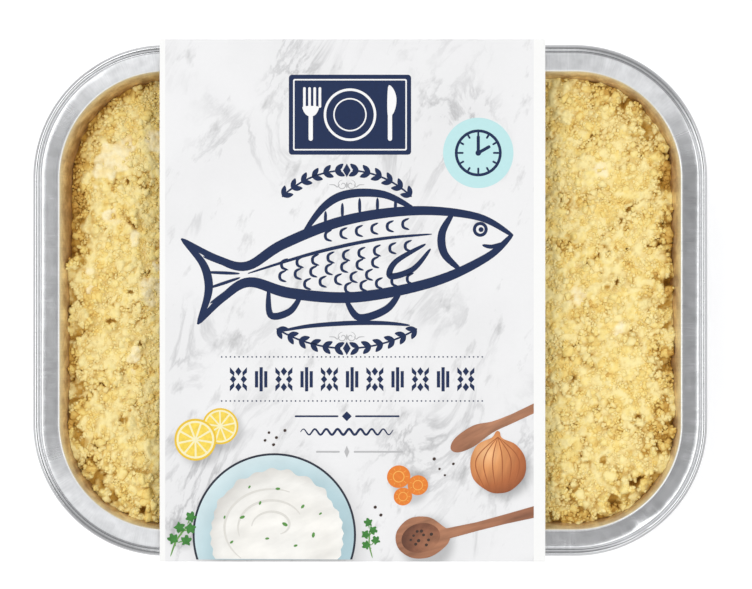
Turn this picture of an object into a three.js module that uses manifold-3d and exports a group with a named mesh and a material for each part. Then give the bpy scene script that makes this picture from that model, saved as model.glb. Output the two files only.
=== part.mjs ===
// A dish of fish gratin: a foil tray filled with gratin under bread crumbs, held in a carton sleeve.
// Millimetres, +Z up. X runs along the tray, and the origin is at the middle of the underside.

import * as THREE from 'three';
import { mergeVertices } from 'three/addons/utils/BufferGeometryUtils.js';
import Module from 'manifold-3d';

const wasm = await Module();
wasm.setup();

// Driving dimensions

const GAP = 0.3; // left between pieces that touch
const ARC_STEP = THREE.MathUtils.degToRad(30); // largest turn between two points of a small bend

// Foil tray
const TRAY_LENGTH = 190;
const TRAY_WIDTH = 144;
const TRAY_HEIGHT = 30; // underside to the top of the flat rim
const TRAY_CORNER = 37.5; // outer corner radius, seen from above
const CORNER_DIVISIONS = 4; // half the number of edges in one corner
const FOIL = 0.5; // the real foil is thinner
const FLANGE = 7.3; // width of the whole rim
const WALL_SLOPE = THREE.MathUtils.degToRad(12);
const FLANGE_BEND = 0.9; // radius where the wall turns into the rim
const BASE_BEND = 6; // radius where the wall turns into the floor
const FLOOR_REACH = 8; // flat floor kept in the section before its bend
const CURL_RADIUS = 0.95; // of the rolled edge, to the middle of the foil
const CURL_RISE = 0.3; // the rolled edge stands above the flat rim
const CURL_START = THREE.MathUtils.degToRad(150);
const CURL_END = THREE.MathUtils.degToRad(-150);
const GROOVE_DEPTH = 0.35; // pressed line between rim and rolled edge
const GROOVE_OUTER = 2.4; // lowest point of the groove, from the outer edge
const GROOVE_INNER = 3.0; // start of the groove, from the outer edge

// Carton sleeve
const BOARD = 0.5;
const SLEEVE_LENGTH = 108.5; // along the tray
const SLEEVE_OFFSET = -5; // middle of the sleeve, from the middle of the tray
const SLEEVE_TOP_HALF = 73.95; // at the sharp corner, before the fold is rounded
const SLEEVE_BASE_HALF = 61.8;
const FOLD_RADIUS = 0.8; // outside of a fold
const LAP_INNER_EDGE = 33; // where the upper layer of the glued lap ends
const LAP_OUTER_EDGE = 52; // where the lower layer of the glued lap ends

// Gratin and its crumbs
const FILL_DEPTH = 7.2; // top of the food, below the flat rim
const FILL_FALL_ALONG = 0.6; // deeper at the left end by this much, and less deep at the right
const FILL_FALL_ACROSS = 1.8; // deeper at the back by this much, and less deep at the front
const SWELL = 0.45; // height of the long waves in the top
const SWELL_ALONG = 107; // their length along the tray and across it
const SWELL_ACROSS = 82;
const SWELL_SHIFT = 0.8; // turns the waves away from the middle
const EDGE_BAND = 8; // the top falls away towards the wall over this width
const EDGE_FALL = 1.1;
const CELL = 3; // spacing of the relief
const CELL_SHIFT = 0.32; // of a cell, to make the relief uneven
const CRUMB_RELIEF = 0.5; // height of the relief, up or down
const LUMP_SPACING = 8.4;
const LUMP_EDGE_BAND = 11; // the large crumbs lie mostly this near the wall
const LUMP_MIDDLE_SHARE = 0.1; // of the places away from the wall
const LUMP_SMALL = 1.2; // radii of the large crumbs
const LUMP_LARGE = 2.2;
const LUMP_UNEVEN = 0.2; // each corner moves in or out by up to this share
const LUMP_LONG = 0.3; // a large crumb is up to this much longer than wide
const LUMP_FLAT = 0.75; // its height as a share of its width
const LUMP_RISE = 0.1; // its middle stands above the surface by this share of its radius
const SEED = 20;

// Heights worked out from the stack of layers

const trayBase = 2 * BOARD + GAP;
const rimTop = trayBase + TRAY_HEIGHT;
const rimMiddle = rimTop - FOIL / 2;
const sleeveTopInside = rimTop + CURL_RISE + GAP;
const sleeveTop = sleeveTopInside + BOARD;

// Repeatable random numbers from 0 to 1
function seededRandom(seed) {
  let state = seed;
  return () => {
    state = (state * 1664525 + 1013904223) % 4294967296;
    return state / 4294967296;
  };
}

// Points along straight lines from corner to corner, each corner rounded by its radius
function roundedLine(corners, closed = false) {
  const points = [];
  corners.forEach((corner, i) => {
    const atEnd = !closed && (i === 0 || i === corners.length - 1);
    if (atEnd || !corner.radius) {
      points.push(new THREE.Vector2(corner.x, corner.y));
      return;
    }
    const here = new THREE.Vector2(corner.x, corner.y);
    const before = corners[(i + corners.length - 1) % corners.length];
    const after = corners[(i + 1) % corners.length];
    const back = new THREE.Vector2(before.x, before.y).sub(here).normalize();
    const ahead = new THREE.Vector2(after.x, after.y).sub(here).normalize();
    const halfAngle = Math.acos(back.dot(ahead)) / 2;
    const toCentre = back.clone().add(ahead).normalize();
    const centre = here.clone().addScaledVector(toCentre, corner.radius / Math.sin(halfAngle));
    const first = here.clone().addScaledVector(back, corner.radius / Math.tan(halfAngle));
    const turn = (Math.PI - 2 * halfAngle) * Math.sign(ahead.cross(back));
    const steps = Math.ceil(Math.abs(turn) / ARC_STEP);
    for (let k = 0; k <= steps; k += 1) {
      points.push(first.clone().rotateAround(centre, (turn * k) / steps));
    }
  });
  return points;
}

// The same line moved sideways, to its left if the distance is positive
function offsetLine(points, distance) {
  return points.map((point, i) => {
    const before = points[Math.max(i - 1, 0)];
    const after = points[Math.min(i + 1, points.length - 1)];
    const into = i ? point.clone().sub(before).normalize() : after.clone().sub(point).normalize();
    const out = i < points.length - 1 ? after.clone().sub(point).normalize() : into;
    const along = into.clone().add(out).normalize();
    const stretch = distance / along.dot(into);
    return new THREE.Vector2(point.x - along.y * stretch, point.y + along.x * stretch);
  });
}

// The tray's outline at a height, moved outwards by a distance from its outer edge
function ringAt(outward, height) {
  const halfLength = TRAY_LENGTH / 2 + outward;
  const halfWidth = TRAY_WIDTH / 2 + outward;
  const radius = TRAY_CORNER + outward;
  const outline = new THREE.Shape();
  const quarter = Math.PI / 2;
  [[1, 1], [-1, 1], [-1, -1], [1, -1]].forEach(([alongX, alongY], i) => {
    const x = alongX * (halfLength - radius);
    const y = alongY * (halfWidth - radius);
    outline.absarc(x, y, radius, i * quarter, (i + 1) * quarter, false);
  });
  return outline.getPoints(CORNER_DIVISIONS).map((p) => new THREE.Vector3(p.x, p.y, height));
}

// A closed solid from a line of rings that starts and ends on a flat face
function loftRings(rings) {
  const size = rings[0].length;
  const points = rings.flat();
  const faces = [];
  for (let r = 0; r + 1 < rings.length; r += 1) {
    for (let k = 0; k < size; k += 1) {
      const a = r * size + k;
      const b = r * size + ((k + 1) % size);
      faces.push(a, b, b + size, a, b + size, a + size);
    }
  }
  [0, rings.length - 1].forEach((r) => {
    const centre = points.length;
    points.push(new THREE.Vector3(0, 0, rings[r][0].z));
    for (let k = 0; k < size; k += 1) {
      const a = r * size + k;
      const b = r * size + ((k + 1) % size);
      faces.push(centre, r ? a : b, r ? b : a);
    }
  });
  const geometry = new THREE.BufferGeometry().setFromPoints(points);
  geometry.setIndex(faces);
  return geometry;
}

// The middle line of the foil from floor to wall, as distance outwards and height
function wallCorners(topHeight) {
  const floor = trayBase + FOIL / 2;
  const wallFoot = -FLANGE - (rimMiddle - floor) * Math.tan(WALL_SLOPE);
  const wallTop = -FLANGE + (topHeight - rimMiddle) * Math.tan(WALL_SLOPE);
  return [
    { x: wallFoot - FLOOR_REACH, y: floor },
    { x: wallFoot, y: floor, radius: BASE_BEND },
    { x: wallTop, y: topHeight },
  ];
}

// Foil tray: floor, sloping wall, flat rim, pressed groove and rolled edge, as one bent sheet
function trayGeometry() {
  const [floorStart, foot, edge] = wallCorners(rimMiddle);
  const line = roundedLine([
    floorStart,
    foot,
    { ...edge, radius: FLANGE_BEND },
    { x: -GROOVE_INNER, y: rimMiddle },
    { x: -GROOVE_OUTER, y: rimMiddle - GROOVE_DEPTH },
  ]);
  const curlX = -CURL_RADIUS - FOIL / 2;
  const curlY = rimMiddle + CURL_RISE - CURL_RADIUS;
  const curl = new THREE.Path();
  curl.absarc(curlX, curlY, CURL_RADIUS, CURL_START, CURL_END, true);
  const curlDivisions = Math.ceil((CURL_START - CURL_END) / ARC_STEP / 2);
  line.push(...curl.getPoints(curlDivisions));

  const upper = offsetLine(line, FOIL / 2);
  const lower = offsetLine(line, -FOIL / 2);
  const section = [...lower, ...upper.reverse()];
  return loftRings(section.map((p) => ringAt(p.x, p.y)));
}

// Carton sleeve: one strip of board folded round the tray and glued where its ends overlap
function sleeveGeometry() {
  const lean = (SLEEVE_TOP_HALF - SLEEVE_BASE_HALF) / sleeveTop;
  const boardAcross = BOARD * Math.hypot(1, lean);
  const outerAt = (height) => SLEEVE_BASE_HALF + lean * height;
  const innerAt = (height) => outerAt(height) - boardAcross;
  const insideFold = FOLD_RADIUS - BOARD;

  const outline = new THREE.Shape(roundedLine([
    { x: -outerAt(0), y: 0, radius: FOLD_RADIUS },
    { x: LAP_OUTER_EDGE, y: 0 },
    { x: LAP_OUTER_EDGE, y: BOARD },
    { x: outerAt(BOARD), y: BOARD, radius: FOLD_RADIUS },
    { x: SLEEVE_TOP_HALF, y: sleeveTop, radius: FOLD_RADIUS },
    { x: -SLEEVE_TOP_HALF, y: sleeveTop, radius: FOLD_RADIUS },
  ], true));
  outline.holes.push(new THREE.Path(roundedLine([
    { x: -innerAt(BOARD), y: BOARD, radius: insideFold },
    { x: -innerAt(sleeveTopInside), y: sleeveTopInside, radius: insideFold },
    { x: innerAt(sleeveTopInside), y: sleeveTopInside, radius: insideFold },
    { x: innerAt(2 * BOARD), y: 2 * BOARD, radius: insideFold },
    { x: LAP_INNER_EDGE, y: 2 * BOARD },
    { x: LAP_INNER_EDGE, y: BOARD },
  ], true)));
  return new THREE.ExtrudeGeometry(outline, { depth: SLEEVE_LENGTH, bevelEnabled: false });
}

// How far a place lies inside the food's edge
function distanceFromWall(x, y) {
  const inset = FLANGE + FILL_DEPTH * Math.tan(WALL_SLOPE);
  const radius = TRAY_CORNER - inset;
  const dx = Math.abs(x) - (TRAY_LENGTH / 2 - inset - radius);
  const dy = Math.abs(y) - (TRAY_WIDTH / 2 - inset - radius);
  const outside = Math.hypot(Math.max(dx, 0), Math.max(dy, 0));
  return radius - outside - Math.min(Math.max(dx, dy), 0);
}

// Height of the food's top before its crumbs: a slope, long waves and a fall at the wall
function foodHeight(x, y) {
  const along = (-FILL_FALL_ALONG * x) / (TRAY_LENGTH / 2);
  const across = (FILL_FALL_ACROSS * y) / (TRAY_WIDTH / 2);
  const waveAlong = Math.sin((2 * Math.PI * x) / SWELL_ALONG + SWELL_SHIFT);
  const waveAcross = Math.cos((2 * Math.PI * y) / SWELL_ACROSS - SWELL_SHIFT);
  const swell = SWELL * waveAlong * waveAcross;
  const nearWall = THREE.MathUtils.clamp(1 - distanceFromWall(x, y) / EDGE_BAND, 0, 1);
  const backward = 0.5 + y / TRAY_WIDTH;
  const edge = EDGE_FALL * nearWall * nearWall * backward;
  return rimTop - FILL_DEPTH - along - across + swell - edge;
}

// A random number between minus and plus the given size
function eitherWay(random, size) {
  return (2 * random() - 1) * size;
}

// The same geometry with only positions, each shared by the faces that meet there
function joined(geometry) {
  geometry.deleteAttribute('normal');
  geometry.deleteAttribute('uv');
  return mergeVertices(geometry);
}

// A joined geometry as a solid that can be joined and cut
function toSolid(geometry) {
  return new wasm.Manifold(new wasm.Mesh({
    numProp: 3,
    vertProperties: new Float32Array(geometry.attributes.position.array),
    triVerts: new Uint32Array(geometry.index.array),
  }));
}

// A solid as a geometry that a mesh can hold
function toGeometry(solid) {
  const mesh = solid.getMesh();
  const geometry = new THREE.BufferGeometry();
  geometry.setAttribute('position', new THREE.BufferAttribute(mesh.vertProperties, 3));
  geometry.setIndex(new THREE.BufferAttribute(mesh.triVerts, 1));
  geometry.computeVertexNormals();
  return geometry;
}

// The space that the food fills, a gap inside the foil and open upwards
function foodSpace() {
  const line = roundedLine(wallCorners(rimTop));
  const inside = offsetLine(line, FOIL / 2 + GAP);
  return toSolid(loftRings(inside.map((p) => ringAt(p.x, p.y))));
}

// A block whose top is the uneven, crumbed surface
function crumbedBlock(random) {
  const columns = Math.round(TRAY_LENGTH / CELL);
  const rows = Math.round(TRAY_WIDTH / CELL);
  const block = joined(new THREE.BoxGeometry(TRAY_LENGTH, TRAY_WIDTH, TRAY_HEIGHT, columns, rows, 1));
  const places = block.attributes.position;
  for (let i = 0; i < places.count; i += 1) {
    if (places.getZ(i) < 0) continue;
    const x = places.getX(i) + eitherWay(random, CELL_SHIFT * CELL);
    const y = places.getY(i) + eitherWay(random, CELL_SHIFT * CELL);
    places.setXYZ(i, x, y, foodHeight(x, y) + eitherWay(random, CRUMB_RELIEF));
  }
  return toSolid(block);
}

// One large crumb, an uneven lump of twenty faces
function crumbLump(x, y, random) {
  const radius = THREE.MathUtils.lerp(LUMP_SMALL, LUMP_LARGE, random());
  const lump = joined(new THREE.IcosahedronGeometry(radius, 0));
  const corners = lump.attributes.position;
  const corner = new THREE.Vector3();
  for (let i = 0; i < corners.count; i += 1) {
    corner.fromBufferAttribute(corners, i).multiplyScalar(1 + eitherWay(random, LUMP_UNEVEN));
    corners.setXYZ(i, corner.x, corner.y, corner.z);
  }
  lump.rotateZ(random() * Math.PI);
  lump.scale(1 + LUMP_LONG * random(), 1, LUMP_FLAT);
  lump.rotateZ(random() * Math.PI);
  lump.translate(x, y, foodHeight(x, y) + radius * LUMP_RISE);
  return toSolid(lump);
}

// Large crumbs on a jittered grid, nearly all of them near the wall
function crumbLumps(random) {
  const lumps = [];
  for (let x = -TRAY_LENGTH / 2; x < TRAY_LENGTH / 2; x += LUMP_SPACING) {
    for (let y = -TRAY_WIDTH / 2; y < TRAY_WIDTH / 2; y += LUMP_SPACING) {
      const placeX = x + random() * LUMP_SPACING;
      const placeY = y + random() * LUMP_SPACING;
      const fromWall = distanceFromWall(placeX, placeY);
      const share = fromWall < LUMP_EDGE_BAND ? 1 : LUMP_MIDDLE_SHARE;
      const wanted = random() < share;
      if (fromWall > LUMP_LARGE && wanted) lumps.push(crumbLump(placeX, placeY, random));
    }
  }
  return lumps;
}

// Fish gratin: one solid from the foil up to its crumbs
function gratinGeometry() {
  const random = seededRandom(SEED);
  const block = crumbedBlock(random);
  const heap = wasm.Manifold.union([block, ...crumbLumps(random)]);
  return toGeometry(heap.intersect(foodSpace()));
}

// The pack

const foil = new THREE.MeshStandardMaterial({ color: 0xb9bbbd, roughness: 0.35, metalness: 1 });
const crumb = new THREE.MeshStandardMaterial({ color: 0xe8ce86, roughness: 0.9, metalness: 0 });
const carton = new THREE.MeshStandardMaterial({ color: 0xf0f0f0, roughness: 0.5, metalness: 0 });

const tray = new THREE.Mesh(trayGeometry(), foil);
tray.name = 'tray';

const gratin = new THREE.Mesh(gratinGeometry(), crumb);
gratin.name = 'gratin';

const sleeve = new THREE.Mesh(sleeveGeometry(), carton);
sleeve.name = 'sleeve';
sleeve.rotation.set(Math.PI / 2, 0, Math.PI / 2, 'ZYX');
sleeve.position.x = SLEEVE_OFFSET - SLEEVE_LENGTH / 2;

const pack = new THREE.Group();
pack.add(tray, gratin, sleeve);

export default pack;
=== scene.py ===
# Pack of fish gratin seen from straight above: a foil tray, the gratin, its bread crumbs, a carton
# sleeve and the print on it. Everything is in metres, in the frame of the CAD model.
import math
import random

import bmesh
import bpy
import numpy as np
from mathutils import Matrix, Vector, noise
from mathutils.bvhtree import BVHTree


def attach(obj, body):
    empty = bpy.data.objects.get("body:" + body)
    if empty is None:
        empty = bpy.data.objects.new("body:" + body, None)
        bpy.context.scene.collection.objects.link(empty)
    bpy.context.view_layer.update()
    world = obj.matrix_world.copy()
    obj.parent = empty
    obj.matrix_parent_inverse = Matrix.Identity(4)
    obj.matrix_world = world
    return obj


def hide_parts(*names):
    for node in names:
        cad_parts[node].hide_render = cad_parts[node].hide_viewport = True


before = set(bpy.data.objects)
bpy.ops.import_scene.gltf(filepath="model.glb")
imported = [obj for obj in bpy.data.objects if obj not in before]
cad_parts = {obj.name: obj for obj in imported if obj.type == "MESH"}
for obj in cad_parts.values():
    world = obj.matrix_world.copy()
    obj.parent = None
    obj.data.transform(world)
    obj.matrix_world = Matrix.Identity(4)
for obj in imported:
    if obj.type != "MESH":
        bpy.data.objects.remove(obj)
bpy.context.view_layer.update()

# Camera, floor and light
# The pack lies on a pale table. The camera hangs 0.9 m above the rim of the tray and looks straight
# down, where one pixel of the 752 by 589 picture is 0.2817 mm.
RIM_TOP = 0.0313
CAMERA_HEIGHT = 0.9
PICTURE_WIDTH = 0.21184
PICTURE_MIDDLE = (0.00162, 0.00166)
SENSOR = 36
LAMP_DISTANCE = 1.3
OVERHEAD = 0.375

scene = bpy.context.scene
scene.view_settings.view_transform = "Standard"
bpy.ops.object.select_all(action="DESELECT")
bpy.ops.object.camera_add(location=(*PICTURE_MIDDLE, RIM_TOP + CAMERA_HEIGHT), rotation=(0, 0, 0))
camera = bpy.context.object
camera.data.sensor_width = SENSOR
camera.data.lens = SENSOR * CAMERA_HEIGHT / PICTURE_WIDTH
camera.data.clip_start = 0.05
scene.camera = camera

# Two wide soft boxes hang high at the upper left and the lower right, inside a tent whose cloth is
# bright low down along both diagonals and dim overhead, where the camera looks in.
for name, azimuth, elevation, power in (("key", 155, 63, 5.15), ("fill", -25, 63, 3.9)):
    turn, rise = math.radians(azimuth), math.radians(elevation)
    place = Vector((math.cos(turn) * math.cos(rise), math.sin(turn) * math.cos(rise), math.sin(rise))) * LAMP_DISTANCE
    bpy.ops.object.light_add(type="AREA", location=place)
    lamp = bpy.context.object
    lamp.name = "soft_box_" + name
    lamp.rotation_euler = (-place).to_track_quat("-Z", "Y").to_euler()
    lamp.data.shape = "RECTANGLE"
    lamp.data.size = 1.4
    lamp.data.size_y = 0.45
    lamp.data.energy = power


def wire(tree, node, *inputs, **named):
    """Fills a node's inputs in order or by name; an output of another node is linked, and None is left."""
    for key, value in [*enumerate(inputs), *named.items()]:
        socket = node.inputs[key.replace("_", " ") if isinstance(key, str) else key]
        if isinstance(value, bpy.types.NodeSocket):
            tree.links.new(value, socket)
        elif value is not None:
            socket.default_value = value


def add(tree, kind, *inputs, out=0, **named):
    """Adds a node and gives one of its outputs; names in small letters are settings of the node itself."""
    node = tree.nodes.new("ShaderNode" + kind)
    for key in [key for key in named if key.islower()]:
        setattr(node, key, named.pop(key))
    wire(tree, node, *inputs, **named)
    return node.outputs[out]


def tints(tree, share, *stops):
    """A run of colours, from stops of (position, colour)."""
    run = add(tree, "ValToRGB", share)
    elements = run.node.color_ramp.elements
    for element, (position, colour) in zip(elements, (stops[0], stops[-1])):
        element.position, element.color = position, (*colour, 1)
    for position, colour in stops[1:-1]:
        elements.new(position).color = (*colour, 1)
    return run


def new_material(name):
    """A material and its node tree."""
    material = bpy.data.materials.new(name)
    material.use_nodes = True
    return material, material.node_tree


def surface(tree, **values):
    """Fills the inputs of a material's shader."""
    wire(tree, tree.nodes["Principled BSDF"], **values)


tent = bpy.data.worlds.new("light_tent")
scene.world = tent
tent.use_nodes = True
tree = tent.node_tree
way = add(tree, "TexCoord", out="Generated")
glow = OVERHEAD
for across, low, high, gain in (((-0.848, 0.53, 0), 0.2, 0.7, 0.45), ((0.53, 0.848, 0), 0.25, 0.75, 0.42)):
    lean = add(tree, "VectorMath", way, across, out="Value", operation="DOT_PRODUCT")
    size = add(tree, "Math", lean, operation="ABSOLUTE")
    side = add(tree, "MapRange", size, low, high, 0, gain, interpolation_type="SMOOTHSTEP")
    glow = add(tree, "Math", side, glow)
wire(tree, tree.nodes["Background"], Color=(1, 1, 1.01, 1), Strength=glow)

bpy.ops.mesh.primitive_plane_add(size=6, location=(0, 0, 0))
table = bpy.context.object
table.name = "table"
table_paint, tree = new_material("table_paint")
mottle = tints(tree, add(tree, "TexNoise", Scale=3), (0, (0.955, 0.955, 0.955)), (1, (0.965, 0.965, 0.965)))
surface(tree, Base_Color=mottle, Roughness=0.8, Specular_IOR_Level=0.2, Emission_Color=(1, 1, 1, 1),
        Emission_Strength=0.2)
table.data.materials.append(table_paint)

# Foil tray
# Pressed from one sheet of rolled aluminium foil. The wall leans out 12 degrees, the flat rim ends in a
# pressed groove and a curled edge, and the spare foil makes fine pleats round the corners of the rim.
MM = 0.001
HALF_LENGTH = 95 * MM
HALF_WIDTH = 72 * MM
CORNER_RADIUS = 37.5 * MM
CORNER_X = HALF_LENGTH - CORNER_RADIUS
CORNER_Y = HALF_WIDTH - CORNER_RADIUS
RIM_WIDTH = 7.3 * MM
WALL_SLOPE = math.radians(12)
FOIL = 0.25 * MM
CURL_RADIUS = 0.98 * MM
CURL_TOP = 31.55 * MM
KINKS = ((-79.2 * MM, 64.6 * MM), (78.5 * MM, -64.1 * MM))
KINK_REACH = 5 * MM
KINK_DEPTH = 0.35 * MM


def round_path(x, y):
    """How far round the rim a point lies, from the middle of the front side, and how far outside the rim."""
    ax, ay = abs(x), abs(y)
    cx, cy = max(ax - CORNER_X, 0.0), max(ay - CORNER_Y, 0.0)
    if cx > 0 and cy > 0:
        out = math.hypot(cx, cy) - CORNER_RADIUS
        along = CORNER_X + CORNER_RADIUS * math.atan2(cx, cy)
    elif ax - HALF_LENGTH > ay - HALF_WIDTH:
        out = ax - HALF_LENGTH
        along = CORNER_X + CORNER_RADIUS * math.pi / 2 + (CORNER_Y - ay)
    else:
        out = ay - HALF_WIDTH
        along = ax
    quarter = CORNER_X + CORNER_RADIUS * math.pi / 2 + CORNER_Y
    if x >= 0:
        return (along if y < 0 else 2 * quarter - along), out
    return (4 * quarter - along if y < 0 else 2 * quarter + along), out


def pull(*move):
    """Extrudes what is selected that far."""
    bpy.ops.mesh.extrude_region_move(TRANSFORM_OT_translate={"value": move})


def start_line(name, points):
    """A new piece in edit mode, a line through these points."""
    bpy.ops.object.select_all(action="DESELECT")
    bpy.ops.mesh.primitive_plane_add(size=0.001, location=points[0])
    piece = bpy.context.object
    piece.name = name
    bpy.ops.object.transform_apply(location=True, rotation=True, scale=True)
    bpy.ops.object.mode_set(mode="EDIT")
    bpy.ops.mesh.merge(type="CENTER")
    for here, there in zip(points, points[1:]):
        pull(*(b - a for a, b in zip(here, there)))
    bpy.ops.mesh.select_all(action="SELECT")
    return piece


def press_round(name, section, side_step, corner_steps):
    """Draws a section at the front and carries it along the four sides and round the four corners."""
    piece = start_line(name, [(0, -HALF_WIDTH - out, height) for out, height in section])
    route = [((1, 0), CORNER_X, (1, -1)), ((0, 1), 2 * CORNER_Y, (1, 1)), ((-1, 0), 2 * CORNER_X, (-1, 1)),
             ((0, -1), 2 * CORNER_Y, (-1, -1)), ((1, 0), CORNER_X, None)]
    for (dx, dy), length, corner in route:
        steps = max(1, round(length / side_step))
        for _ in range(steps):
            pull(dx * length / steps, dy * length / steps, 0)
        if corner:
            middle = (corner[0] * CORNER_X, corner[1] * CORNER_Y, 0)
            bpy.ops.mesh.spin(steps=corner_steps, angle=math.pi / 2, center=middle, axis=(0, 0, -1))
    bpy.ops.mesh.select_all(action="SELECT")
    bpy.ops.mesh.remove_doubles(threshold=0.01 * MM)
    return piece


def close_edge(piece, low, high):
    """Fills the open edge of a piece that lies between two heights."""
    bpy.ops.mesh.select_all(action="DESELECT")
    shape = bmesh.from_edit_mesh(piece.data)
    for edge in shape.edges:
        if edge.is_boundary and low < edge.verts[0].co.z < high:
            edge.select_set(True)
    bmesh.update_edit_mesh(piece.data)
    bpy.ops.mesh.edge_face_add()


def face_out(piece, least=None):
    """Makes all faces agree, with the one for which least gives the lowest value looking up."""
    bpy.ops.mesh.select_all(action="SELECT")
    bpy.ops.mesh.normals_make_consistent(inside=False)
    shape = bmesh.from_edit_mesh(piece.data)
    if least and min(shape.faces, key=least).normal.z < 0:
        bpy.ops.mesh.flip_normals()


def arc(centre, radius, start, end, steps):
    """Points on an arc of a section, its angles in degrees."""
    turns = [math.radians(start + (end - start) * i / steps) for i in range(steps + 1)]
    return [(centre[0] + radius * math.cos(t), centre[1] + radius * math.sin(t)) for t in turns]


# The upper face of the foil, from the floor out to the curled edge: (distance outside the rim, height).
section = [(-25 * MM, 1.8 * MM)]
section += arc((-18.43 * MM, 7.55 * MM), 5.75 * MM, -90, -12, 8)
section += [(-11.6 * MM, 12.0 * MM), (-10.4 * MM, 17.7 * MM), (-9.2 * MM, 23.3 * MM)]
section += arc((-7.06 * MM, 30.74 * MM), 0.54 * MM, 168, 97, 6)
section += [(-6.8 * MM, 31.29 * MM), (-6.45 * MM, 31.3 * MM)]
section += [(-5.2 * MM, 31.3 * MM), (-3.8 * MM, 31.3 * MM), (-2.75 * MM, 31.3 * MM)]
section += [(-2.5 * MM, 31.26 * MM), (-2.25 * MM, 31.08 * MM), (-2.03 * MM, 30.93 * MM)]
section += arc((-CURL_RADIUS, CURL_TOP - CURL_RADIUS), CURL_RADIUS, 158, -150, 16)

tray = press_round("foil_tray", section, 2.5 * MM, 96)
close_edge(tray, 0, 5 * MM)
face_out(tray, lambda face: face.calc_center_median().length)
bpy.ops.object.mode_set(mode="OBJECT")

# Pleats round the corners, soft waves along the rim, and two kinks where the foil folded over.
for vertex in tray.data.vertices:
    x, y, z = vertex.co
    if z < 20 * MM:
        continue
    along, out = round_path(x, y)
    cx, cy = max(abs(x) - CORNER_X, 0.0), max(abs(y) - CORNER_Y, 0.0)
    bend = math.sin(2 * math.atan2(cx, cy)) if cx > 0 and cy > 0 else 0.0
    fade = min(1.0, max(0.0, (out + 8.5 * MM) / (2 * MM)))
    flat = fade * min(1.0, max(0.0, (-2.1 * MM - out) / (0.6 * MM)))
    pleat = noise.noise(Vector((along / (2.6 * MM), out / (14 * MM), 0.3)))
    lift = 0.05 * MM * bend ** 0.6 * pleat * flat if bend > 0 else 0.0
    lift += 0.05 * MM * noise.noise(Vector((along / (16 * MM), out / (8 * MM), 8.1))) * fade
    vertex.co.z += lift
    for kink_x, kink_y in KINKS:
        near = math.hypot(x - kink_x, y - kink_y)
        if near < KINK_REACH:
            vertex.co.z -= KINK_DEPTH * (1 - near / KINK_REACH) ** 2 * fade


def pick(piece):
    """Selects one piece alone."""
    bpy.ops.object.select_all(action="DESELECT")
    piece.select_set(True)
    bpy.context.view_layer.objects.active = piece


def note(mesh, name, values):
    """Gives each corner of a mesh a value that its material reads."""
    mesh.attributes.new(name, "FLOAT", "POINT").data.foreach_set("value", values)


pick(tray)
bpy.ops.object.modifier_add(type="SOLIDIFY")
tray.modifiers["Solidify"].thickness = FOIL
tray.modifiers["Solidify"].offset = -1
bpy.ops.object.modifier_apply(modifier="Solidify")
bpy.ops.object.shade_smooth_by_angle(angle=math.radians(50))

# How matt the flat rim is rubbed round the tray, by the way it faces: the front left corner the most.
SCUFFED = ((-180, 0.13), (-160, 0.35), (-140, 0.9), (-115, 1.0), (-91, 1.0), (-89.9, 0.12), (-60, 0.05),
           (-30, 0.0), (0, 0.0), (18, 0.2), (40, 0.68), (65, 0.9), (89.9, 0.5), (90.1, 0.85), (110, 0.8),
           (130, 0.5), (155, 0.15), (180, 0.13))
places = [round_path(v.co.x, v.co.y) for v in tray.data.vertices]
rubbed = []
for vertex in tray.data.vertices:
    cx, cy = abs(vertex.co.x) - CORNER_X, abs(vertex.co.y) - CORNER_Y
    way = Vector((math.copysign(max(cx, 0), vertex.co.x), math.copysign(max(cy, 0), vertex.co.y), 0))
    turn = math.degrees(math.atan2(way.y, way.x))
    if cy > 0 and abs(vertex.co.x) < CORNER_X:
        turn += 1 if (vertex.co.x < 0) == (vertex.co.y > 0) else -1
    rubbed.append(float(np.interp(turn, *zip(*SCUFFED))) if way.length > 0 else 0.0)
note(tray.data, "around", [along for along, _ in places])
note(tray.data, "across", [out for _, out in places])
note(tray.data, "corner", rubbed)
note(tray.data, "inside", [float(v.normal.z > 0 or out > -6.4 * MM) for v, (_, out) in zip(tray.data.vertices, places)])


def mix(tree, share, first, second, blend="MIX"):
    """Lays the second colour over the first one."""
    return add(tree, "Mix", share, None, None, None, None, None, first, second, out=2,
               data_type="RGBA", blend_type=blend)


foil, tree = new_material("rolled_foil")
around, across, food_side, rubbed = (add(tree, "Attribute", out="Fac", attribute_name=name)
                                     for name in ("around", "across", "inside", "corner"))
place = add(tree, "TexCoord", out="Object")
unrolled = add(tree, "CombineXYZ", around, across)
streaks = add(tree, "TexNoise", add(tree, "Mapping", unrolled, Scale=(2600, 160, 1)), Scale=1, Detail=3)
tint = tints(tree, streaks, (0.3, (0.685, 0.695, 0.705)), (0.7, (0.765, 0.77, 0.78)))
# Along the section the food side is tinted: the lower wall brown, for grease and as painted reflection of the crumbs
# and painted shade from the food; the upper wall lighter, a painted reflection of the crumbs; the fillet's highlight
# toned down; the curl darker and its outer flank darker still, as painted shade.
along_section = add(tree, "MapRange", across, -10.5 * MM, 0)
grease_and_painted_light = tints(tree, along_section, (0.09, (0.88, 0.60, 0.27)), (0.17, (0.98, 0.78, 0.46)), (0.27, (1.15, 1.06, 0.84)),
                (0.31, (1, 1, 0.97)), (0.34, (0.92, 0.92, 0.92)), (0.76, (0.92, 0.92, 0.92)),
                (0.8, (0.72, 0.72, 0.72)), (0.955, (0.72, 0.72, 0.72)), (1, (0.55, 0.55, 0.55)))
foil_with_painted_light = add(tree, "VectorMath", tint, mix(tree, food_side, (1, 1, 1, 1), grease_and_painted_light), operation="MULTIPLY")
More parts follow.
